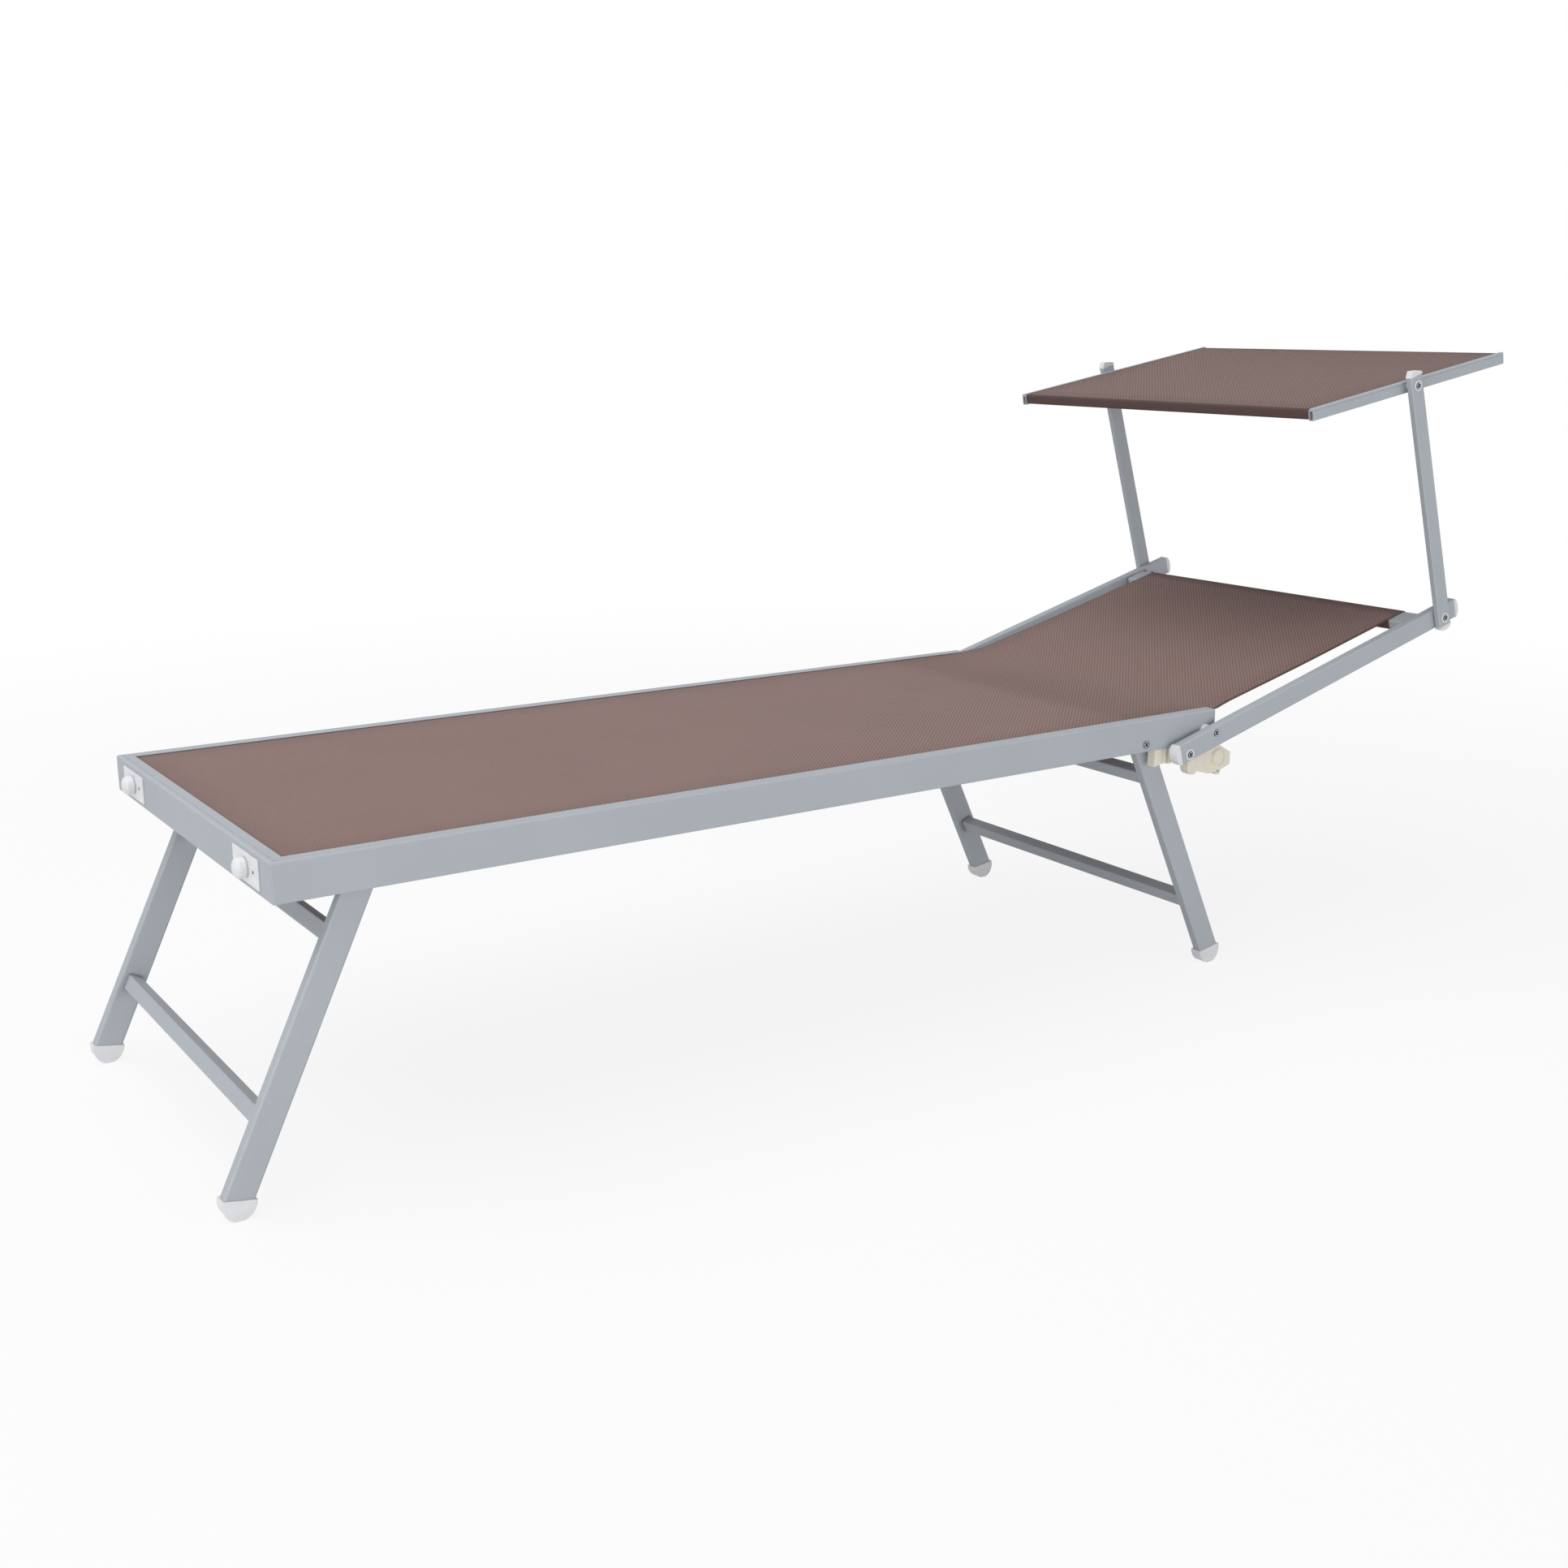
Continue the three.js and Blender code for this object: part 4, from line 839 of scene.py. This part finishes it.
def finished(name, mesh):
    """An object of that name, with its mesh, at the origin."""
    data = bpy.data.meshes.new(name)
    mesh.to_mesh(data)
    mesh.free()
    piece = bpy.data.objects.new(name, data)
    bpy.context.scene.collection.objects.link(piece)
    return piece


def thicken(piece, thickness):
    """Gives a sheet its thickness, half on each side."""
    solid = piece.modifiers.new("cloth thickness", "SOLIDIFY")
    solid.thickness = thickness
    solid.offset = 0
    solid.use_even_offset = True
    solid.use_rim = True


# How high a stitch stands, as a share of its half width
STITCH_RISE = 0.6


def stitch_row(mesh, places, sizes):
    """Small rounded stitches, one at each (point, along, up)."""
    for point, along, up in places:
        side = up.cross(along).normalized()
        made = bmesh.ops.create_icosphere(mesh, subdivisions=1, radius=1)["verts"]
        for vertex in made:
            local = vertex.co.copy()
            vertex.co = (
                point
                + along * (local.x * sizes.stitch / 2)
                + side * (local.y * sizes.thread)
                + up * (local.z * sizes.thread * STITCH_RISE)
            )


def stitches(name, rows_of_places, sizes):
    """One piece with the stitches of several seams."""
    mesh = bmesh.new()
    for places in rows_of_places:
        stitch_row(mesh, places, sizes)
    for face in mesh.faces:
        face.smooth = True
    bmesh.ops.recalc_face_normals(mesh, faces=mesh.faces[:])
    return finished(name, mesh)


class SheetForm:
    """A sheet laid along its cut; each kind adds its cut, half_width and hang."""

    # Short moves by which a direction on the sheet is found
    ASIDE, AHEAD = 0.01, 0.002

    def place(self, way, row, lift=0.0):
        """A point of the sheet's middle surface, or lift above it."""
        point, left = self.cut.at(way)
        move = lift - self.hang(way, row)
        across = row * self.half_width(way)
        return Vector((point.x + left.x * move, across, point.y + left.y * move))

    def on_top(self, way, row):
        """A point on the sheet's upper side, and the direction away from it."""
        lift = self.sizes.thickness / 2
        here = self.place(way, row, lift)
        return here, (self.place(way, row, lift + self.ASIDE) - here).normalized()

    def seam_across(self, way, reach, pitch):
        """Stitches on a line across the sheet, to reach on both sides of its middle."""
        count = int(2 * reach / pitch)
        places = []
        for k in range(count + 1):
            row = (2 * k / count - 1) * reach / self.half_width(way)
            here, up = self.on_top(way, row)
            places.append((here, Vector((0, 1, 0)), up))
        return places

    def seam_along(self, first, last, side, inset, pitch):
        """Stitches on a line down the sheet, inset from the edge on that side."""
        count = int((last - first) / pitch)
        places = []
        for k in range(count + 1):
            way = first + (last - first) * k / count
            half = self.half_width(way)
            row = side * (half - inset) / half
            here, up = self.on_top(way, row)
            ahead = self.on_top(way + self.AHEAD, row)[0]
            places.append((here, (ahead - here).normalized(), up))
        return places


def mirrored(outer):
    """Shares of the half width on both sides of the middle, from those on one side."""
    return [-share for share in outer] + [0.0] + list(outer[::-1])


# Bed and backrest sling


class SlingForm(SheetForm):
    """The one sheet that runs from the foot rail over the bend and round the backrest's bar."""

    # Where the backrest's own lengths start at rest, as x and z, and its bar in those lengths
    BACK_START = (0.43283, 0.3711)
    BAR_FRONT, BAR_REAR = 0.443, 0.483
    BAR_BOTTOM, BAR_TOP = -0.003, 0.012

    # The bend's radius, as a share of the largest that its length has room for
    BEND_FULLNESS = 0.98

    # Distances from the middle to the rows of points, closer near the edges
    EDGE_ROW = 0.0032
    ROWS = (0.281, 0.276, 0.268, 0.256, 0.238, 0.21, 0.17, 0.12, 0.06)

    # The top's shade starts this far past the bar's front and fades six times as slowly as others
    TOP_SHADE, TOP_FADE = 0.036, 6

    def __init__(self, sizes):
        self.sizes = sizes
        half = sizes.thickness / 2
        off = EASE + half
        bed_z = BED_HIGH.z - half
        back = Tilted(*self.BACK_START, sizes.back_slope)
        front, rear = self.BAR_FRONT - off, self.BAR_REAR + off
        top, bottom = self.BAR_TOP + off, self.BAR_BOTTOM - off
        turn = BAR_ROUND + off
        bend = Vector((RAIL_HIGH.x + sizes.bend_length / 2, bed_z))
        bend_s, bend_t = back.back(*bend)
        shoulder_s = self.BAR_FRONT + BAR_ROUND
        slope = (top - bend_t) / (shoulder_s - bend_s)
        below = sizes.thickness + EASE
        inside = bend_t + slope * (front - bend_s) - below
        tail_s = front - sizes.lap
        tail_t = bend_t + slope * (tail_s - bend_s) - below
        cloth_slope = sizes.back_slope + math.atan(slope)
        radius = sizes.bend_length / 2 / math.tan(cloth_slope / 2) * self.BEND_FULLNESS
        corners = [
            (Vector((BED_LOW.x, bed_z)), 0),
            (bend, radius),
            (back.point(shoulder_s, top), turn),
            (back.point(rear, top), turn),
            (back.point(rear, bottom), turn),
            (back.point(front, bottom), turn),
            (back.point(front, inside), FOLD_ROUND),
            (back.point(tail_s, tail_t), 0),
        ]
        self.cut = Cut(corners, step=0.02)
        self.bar_way = self.cut.way_near(back.point(shoulder_s, top))
        self.seam_way = self.cut.way_near(back.point(tail_s + SEAM_GAP, tail_t + below))
        self.bed_half = BED_HIGH.y
        self.low_half = sizes.low_width / 2
        self.top_half = sizes.top_width / 2
        self.inner_half = min(abs(RAIL_LOW.y), abs(RAIL_HIGH.y))

    def rows(self):
        """Shares of the half width, closer near the edges."""
        outer = (self.bed_half, self.bed_half - self.EDGE_ROW, *self.ROWS)
        return mirrored([y / self.bed_half for y in outer])

    def half_width(self, way):
        """Half of the sling's width: narrower over the bend, then slowly up the backrest."""
        bend_end = BED_RUN + self.sizes.bend_length
        near = max(0.0, min(1.0, (way - BED_RUN) / self.sizes.bend_length))
        up = max(0.0, min(1.0, (way - bend_end) / (self.bar_way - bend_end)))
        low = self.bed_half + (self.low_half - self.bed_half) * near * near * (3 - 2 * near)
        return low + (self.top_half - self.low_half) * up

    def hang(self, way, row):
        """How far the cloth sags below its cut line."""
        inner = min(1.0, abs(row) * self.half_width(way) / self.inner_half)
        if way < BED_RUN:
            share = max(0.0, min(1.0, (way - HELD_RUN) / (BED_RUN - HELD_RUN)))
            return self.sizes.bed_sag * (math.sin(math.pi * share) ** 0.7) * (1 - inner**2)
        if way < self.bar_way:
            share = (way - BED_RUN) / (self.bar_way - BED_RUN)
            return self.sizes.back_sag * math.sin(math.pi * share) ** 2 * (1 - 0.6 * inner**2)
        return 0.0

    def border(self, way, row):
        """How far a place lies in from the shaded edges."""
        foot = way - HELD_RUN
        top = max(0.0, self.bar_way + self.TOP_SHADE - way) / self.TOP_FADE
        edge = self.inner_half if way < BED_RUN else self.half_width(way)
        side = edge - abs(row) * self.half_width(way)
        return max(0.0, min(foot, side, top))


class LOUNGER_OT_sling(bpy.types.Operator):
    """Makes the sling that covers bed and backrest, with its hems and seams"""

    bl_idname = "lounger.sling"
    bl_label = "Sling"

    # Pieces along and across a hem, and how far in from the edge it counts when shaded
    HEM_STEPS, HEM_ROWS, HEM_BORDER = 24, 4, 0.02

    def execute(self, context):
        sizes = context.scene.lounger_sling
        form = SlingForm(sizes)
        first = BED_RUN + SEAM_MARGIN
        last = form.bar_way - sizes.lap - SEAM_MARGIN
        cloth = cloth_finish(context, "brown_sling_cloth", 1)
        sling = cloth_sheet("sling", form.cut.ways, form.rows(), form.place, form.border)
        others = [self.hem(form, -1, "left", first, last), self.hem(form, 1, "right", first, last)]
        for sheet in (sling, *others):
            thicken(sheet, sizes.thickness)
            sheet.data.materials.append(cloth)

        seams = context.scene.lounger_seams
        thread = stitches("sling_stitches", self.seam_lines(form, seams, first, last), seams)
        thread.data.materials.append(thread_finish(context))
        others.append(thread)

        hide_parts("bed_sling", "backrest_sling")
        start = form.cut.at(BED_RUN)[0]
        end = form.cut.at(BED_RUN + sizes.bend_length)[0]
        for piece in (sling, *others):
            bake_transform(piece)
        return {"FINISHED"}

    def hem(self, form, side, word, first, last):
        """The hem turned under one free edge of the backrest's part."""
        ways = [first + (last - first) * k / self.HEM_STEPS for k in range(self.HEM_STEPS + 1)]
        wide = form.sizes.hem / form.top_half
        shares = [side * (1 - wide * (1 - k / self.HEM_ROWS)) for k in range(self.HEM_ROWS + 1)]
        under = form.sizes.thickness + EASE / 2
        return cloth_sheet(
            f"sling_hem_{word}",
            ways,
            sorted(shares),
            lambda way, row: form.place(way, row, -under),
            lambda way, row: self.HEM_BORDER,
        )

    @staticmethod
    def seam_lines(form, seams, first, last):
        """Stitch places: two lines across the sleeve's lap, and one down each free edge."""
        lines = []
        for way in (form.seam_way, form.seam_way + SEAM_GAP):
            lines.append(form.seam_across(way, form.half_width(way) - SEAM_MARGIN, seams.pitch))
        inset = form.sizes.hem - HEM_SEAM
        for side in (-1, 1):
            lines.append(form.seam_along(first, last, side, inset, seams.pitch))
        return lines


# Canopy cover


class CanopyForm(SheetForm):
    """The sheet over the canopy, wrapped round the front and the rear bar."""

    # The cover's outside on the canopy's own plane, from its pivot, and the depth of a bar
    FRONT, REAR = -0.2108, 0.2263
    TOP, BOTTOM = 0.0066, -0.0094
    BAR_DEPTH = 0.014

    # How far the cover reaches into the rails, and in from a bar's edge to its flat top
    IN_RAIL = 0.0012
    ON_BAR = 0.001

    # The shade at the rear edge fades three times as slowly as at the front
    REAR_FADE = 3

    # Shares of the half width, closer near the edges
    ROWS = (1, 0.995, 0.985, 0.965, 0.93, 0.87, 0.78, 0.66, 0.5, 0.34, 0.17)

    def __init__(self, sizes):
        self.sizes = sizes
        pivot = PIVOTS["canopy_tilt"]
        plane = Tilted(pivot[0], pivot[2], sizes.tilt)
        half = sizes.thickness / 2
        front, rear = self.FRONT + half, self.REAR - half
        top, bottom = self.TOP - half, self.BOTTOM + half
        self.wide = self.BAR_DEPTH + sizes.thickness
        front_back, rear_back = front + self.wide, rear - self.wide
        below = top - sizes.thickness - EASE
        corners = [
            (front_back + sizes.lap, below, 0),
            (front_back, below, FOLD_ROUND),
            (front_back, bottom, BAR_ROUND),
            (front, bottom, BAR_ROUND),
            (front, top, BAR_ROUND),
            (rear, top, BAR_ROUND),
            (rear, bottom, BAR_ROUND),
            (rear_back, bottom, BAR_ROUND),
            (rear_back, below, FOLD_ROUND),
            (rear_back - sizes.lap, below, 0),
        ]
        self.cut = Cut([(plane.point(s, t), turn) for s, t, turn in corners], step=0.018)
        self.front_way = self.cut.way_near(plane.point(front + self.ON_BAR, top))
        self.rear_way = self.cut.way_near(plane.point(rear - self.ON_BAR, top))
        low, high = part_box("canopy_rail_right")
        self.rail_inner = min(abs(low.y), abs(high.y))
        self.half = self.rail_inner + self.IN_RAIL

    def half_width(self, way):
        """Half of the cover's width, which is the same everywhere."""
        return self.half

    def hang(self, way, row):
        """How far the cloth sags between the bars."""
        start, end = self.front_way + self.wide, self.rear_way - self.wide
        if not start < way < end:
            return 0.0
        share = (way - start) / (end - start)
        return self.sizes.sag * math.sin(math.pi * share) ** 2 * (1 - row**2)

    def border(self, way, row):
        """How far a place lies in from the shaded edges; all round the bars it is shaded."""
        side = self.rail_inner - abs(row) * self.half
        ends = min(abs(way - self.front_way), abs(way - self.rear_way) / self.REAR_FADE)
        if way < self.front_way or way > self.rear_way:
            ends = 0.0
        return max(0.0, min(side, ends))


class LOUNGER_OT_canopy(bpy.types.Operator):
    """Makes the canopy's cover, wrapped round its two bars, with its seams"""

    bl_idname = "lounger.canopy"
    bl_label = "Canopy cover"

    def execute(self, context):
        form = CanopyForm(context.scene.lounger_canopy)
        rows = mirrored(form.ROWS)
        cover = cloth_sheet("canopy_cover", form.cut.ways, rows, form.place, form.border)
        thicken(cover, form.sizes.thickness)
        # The canopy's cloth is the sling's cloth darkened as painted shade
        tone = context.scene.lounger_colours.canopy_tone
        cover.data.materials.append(cloth_finish(context, "brown_canopy_cloth", tone))

        seams = context.scene.lounger_seams
        reach = form.rail_inner - SEAM_MARGIN
        lines = []
        for inset in (SEAM_MARGIN, SEAM_MARGIN + SEAM_GAP):
            off = form.wide + inset
            for way in (form.front_way + off, form.rear_way - off):
                lines.append(form.seam_across(way, reach, seams.pitch))
        thread = stitches("canopy_stitches", lines, seams)
        thread.data.materials.append(thread_finish(context))

        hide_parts("canopy_fabric")
        for piece in (cover, thread):
            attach(piece, "canopy")
        return {"FINISHED"}


# Finishes on the frame


# Starts of the parts' names, by finish; ALONG holds the coat's grain for each aluminium part
WASHERED = ("backrest_bolt", "locking_pin", "arm_bolt_lower", "arm_bolt_upper")
WHITE = ("bumper_knob", "foot_leg_cap", "head_leg_cap", "backrest_cap", "arm_cap")
WHITE_ROUND = ("canopy_spacer", "pivot_spacer")
STEEL = ("head_leg_bolt", "foot_leg_bolt")
WELDED = ("foot_bar", "head_bar", "backrest_crossbar")
ALONG = {
    "side_rail": (14, 900, 900),
    "foot_rail": (900, 14, 900),
    "head_cross_tube": (900, 14, 900),
    "foot_bar": (900, 14, 900),
    "head_bar": (900, 14, 900),
    "backrest_crossbar": (900, 14, 900),
    "canopy_bar": (900, 14, 900),
    "backrest_rail": (60, 900, 500),
    "canopy_rail": (50, 900, 600),
    "foot_leg": (400, 900, 60),
    "head_leg": (400, 900, 60),
    "canopy_arm": (400, 900, 40),
}

# Radius of a bolt's steel head in its washer, and of a plate's screws beside its middle
HEAD_RADIUS = 0.00495
SCREW_OFFSET, SCREW_RADIUS = 0.025, 0.0019

# From the end of a welded bar to its weld
WELD_INSET = 0.0015


class LOUNGER_OT_finishes(bpy.types.Operator):
    """Gives every part of the frame its metal or plastic finish"""

    bl_idname = "lounger.finishes"
    bl_label = "Finishes"

    def execute(self, context):
        colours = context.scene.lounger_colours
        steel, white = tuple(colours.steel), tuple(colours.white)
        for name, node in frame["nodes"].items():
            finish = self.finish_for(name, colours, steel, white)
            if finish is None:
                raise RuntimeError(f"{name} has no finish")
            if not node.data.materials:
                node.data.materials.append(finish)
            for slot in node.material_slots:
                slot.material = finish
        return {"FINISHED"}

    @staticmethod
    def finish_for(name, colours, steel, white):
        """The finish of the part of that name, or none."""
        low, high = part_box(name)
        middle = (low + high) / 2
        kind = name.rsplit("_", 1)[0]
        if name.startswith(WASHERED):
            parts = (middle, HEAD_RADIUS, steel, white)
            return finish_of(bolt_in_washer, f"{kind}_steel_and_washer", *parts)
        if name.startswith("bumper_plate"):
            centre = Vector((0, abs(middle.y), middle.z))
            screws = (centre, SCREW_OFFSET, SCREW_RADIUS)
            return finish_of(plate_with_screws, "bumper_plate_white", *screws, white, steel)
        if name.startswith(WHITE):
            return finish_of(moulded_plastic, "white_cap_plastic", white, glow=0.25)
        if name.startswith(WHITE_ROUND):
            return finish_of(moulded_plastic, "white_spacer_plastic", white, glow=0.15, rough=0.32)
        if name.startswith("ratchet"):
            cream = tuple(colours.cream)
            # The ratchets' edges get a tan colour as painted shade
            edges = {"line": tuple(colours.cream_edge), "reach": 0.0009}
            return finish_of(moulded_plastic, "cream_plastic", cream, glow=0.1, rough=0.42, **edges)
        if name.startswith(STEEL):
            return finish_of(turned_steel, f"{kind}_steel", middle, steel)
        if name in ("bed_sling", "backrest_sling", "canopy_fabric"):
            cloth = tuple(colours.cloth)
            return finish_of(moulded_plastic, "hidden_cloth", cloth, glow=0, rough=0.7)
        for start, along in ALONG.items():
            if name.startswith(start):
                silver = tuple(colours.aluminium)
                weld = high.y - WELD_INSET if start in WELDED else None
                return finish_of(coated_aluminium, f"silver_coat_{start}", silver, along, weld)
        return None


# Studio


def aimed(thing, place, back):
    """Puts a lamp or camera in its place; back points away from what it looks at."""
    thing.location = place
    thing.rotation_mode = "QUATERNION"
    thing.rotation_quaternion = back.to_track_quat("Z", "Y")


def soft_lamp(name, place, target, size, power):
    """A rectangular lamp at place that shines at target."""
    data = bpy.data.lights.new(name, "AREA")
    data.shape = "RECTANGLE"
    data.size, data.size_y = size
    data.energy = power
    lamp = bpy.data.objects.new(name, data)
    bpy.context.scene.collection.objects.link(lamp)
    aimed(lamp, place, place - target)


# Distances between which the floor turns plain white, and its share of plain white before them
SHADOW_START, SHADOW_END = 1.4, 4.0
WHITE_SHARE = 0.86


def studio_floor(name):
    """White floor that shows plain white and keeps a soft shadow near the lounger."""
    finish = Finish(name, Base_Color=(0.8, 0.8, 0.8))
    where = finish.place()
    x, y, _ = finish.split(where)
    far = (x * x + y * y).root().ramp(SHADOW_START, SHADOW_END, WHITE_SHARE, 1)
    finish.surface(Roughness=0.85 + finish.noise(where, 40, 2) * 0.1)
    white = finish.add("ShaderNodeEmission", {}, (1, 1, 1), 1)
    lit = Wire(finish, finish.shader.outputs["BSDF"])
    mixed = finish.add("ShaderNodeMixShader", {}, finish.unlit() * far, lit, white)
    finish.put(finish.nodes["Material Output"].inputs["Surface"], mixed)
    return finish.material


def studio_world(name, strength):
    """Even light at that strength, which shows plain white."""
    world = bpy.data.worlds.new(name)
    graph = Graph(world)
    ground = graph.nodes["Background"]
    graph.put(ground.inputs["Color"], (1, 1, 1))
    graph.put(ground.inputs["Strength"], graph.unlit() * (1 - strength) + strength)
    return world


# Each lamp's place, the place it shines at, and its width and height
LAMPS = {
    "front": ((-4.6, -2.9, 1.0), (0, 0, 0.45), (4.6, 1.6)),
    "side": ((1.4, -4.6, 0.8), (0, 0, 0.45), (5.0, 1.4)),
    "top": ((-1.5, 0.3, 4.2), (0, 0, 0.3), (5.6, 4.8)),
}

SENSOR_WIDTH = 36
CLIP_NEAR, CLIP_FAR = 0.05, 200


class LOUNGER_OT_studio(bpy.types.Operator):
    """Sets the white floor, the soft lamps, the even world light and the camera"""

    bl_idname = "lounger.studio"
    bl_label = "Studio"

    def execute(self, context):
        sizes = context.scene.lounger_studio
        mesh = bmesh.new()
        bmesh.ops.create_grid(mesh, x_segments=2, y_segments=2, size=sizes.floor_reach)
        floor = finished("studio_floor", mesh)
        floor.data.materials.append(studio_floor("studio_white"))

        for name, (place, target, size) in LAMPS.items():
            power = getattr(sizes, f"{name}_power")
            soft_lamp(f"{name}_lamp", Vector(place), Vector(target), size, power)
        context.scene.world = studio_world("studio_world", sizes.world_strength)

        data = bpy.data.cameras.new("camera")
        data.lens = sizes.lens
        data.sensor_width = SENSOR_WIDTH
        data.clip_start, data.clip_end = CLIP_NEAR, CLIP_FAR
        camera = bpy.data.objects.new("camera", data)
        context.scene.collection.objects.link(camera)
        a, e = sizes.azimuth, sizes.elevation
        back = Vector((math.sin(a) * math.cos(e), -math.cos(a) * math.cos(e), math.sin(e)))
        aimed(camera, Vector(sizes.camera_place), back)
        context.scene.camera = camera
        context.scene.view_settings.view_transform = "Standard"
        return {"FINISHED"}


# Panel and main


class LOUNGER_PT_panel(bpy.types.Panel):
    bl_idname = "LOUNGER_PT_panel"
    bl_label = "Sun lounger"
    bl_space_type = "VIEW_3D"
    bl_region_type = "UI"
    bl_category = "Lounger"

    def draw(self, context):
        for group in GROUPS:
            box = self.layout.box()
            box.label(text=GROUPS[group].__name__)
            settings = getattr(context.scene, group)
            for name in settings.__annotations__:
                box.prop(settings, name)
        for operator in OPERATORS:
            self.layout.operator(operator.bl_idname)


OPERATORS = (LOUNGER_OT_studio, LOUNGER_OT_finishes, LOUNGER_OT_sling, LOUNGER_OT_canopy)
CLASSES = (*GROUPS.values(), *OPERATORS, LOUNGER_PT_panel)


def register():
    for made in CLASSES:
        bpy.utils.register_class(made)
    for name, group in GROUPS.items():
        setattr(bpy.types.Scene, name, PointerProperty(type=group))


def unregister():
    for name in GROUPS:
        delattr(bpy.types.Scene, name)
    for made in reversed(CLASSES):
        bpy.utils.unregister_class(made)


def main():
    register()
    bpy.ops.lounger.studio()
    bpy.ops.lounger.finishes()
    bpy.ops.lounger.sling()
    bpy.ops.lounger.canopy()
    bpy.context.view_layer.update()


if __name__ == "__main__":
    main()
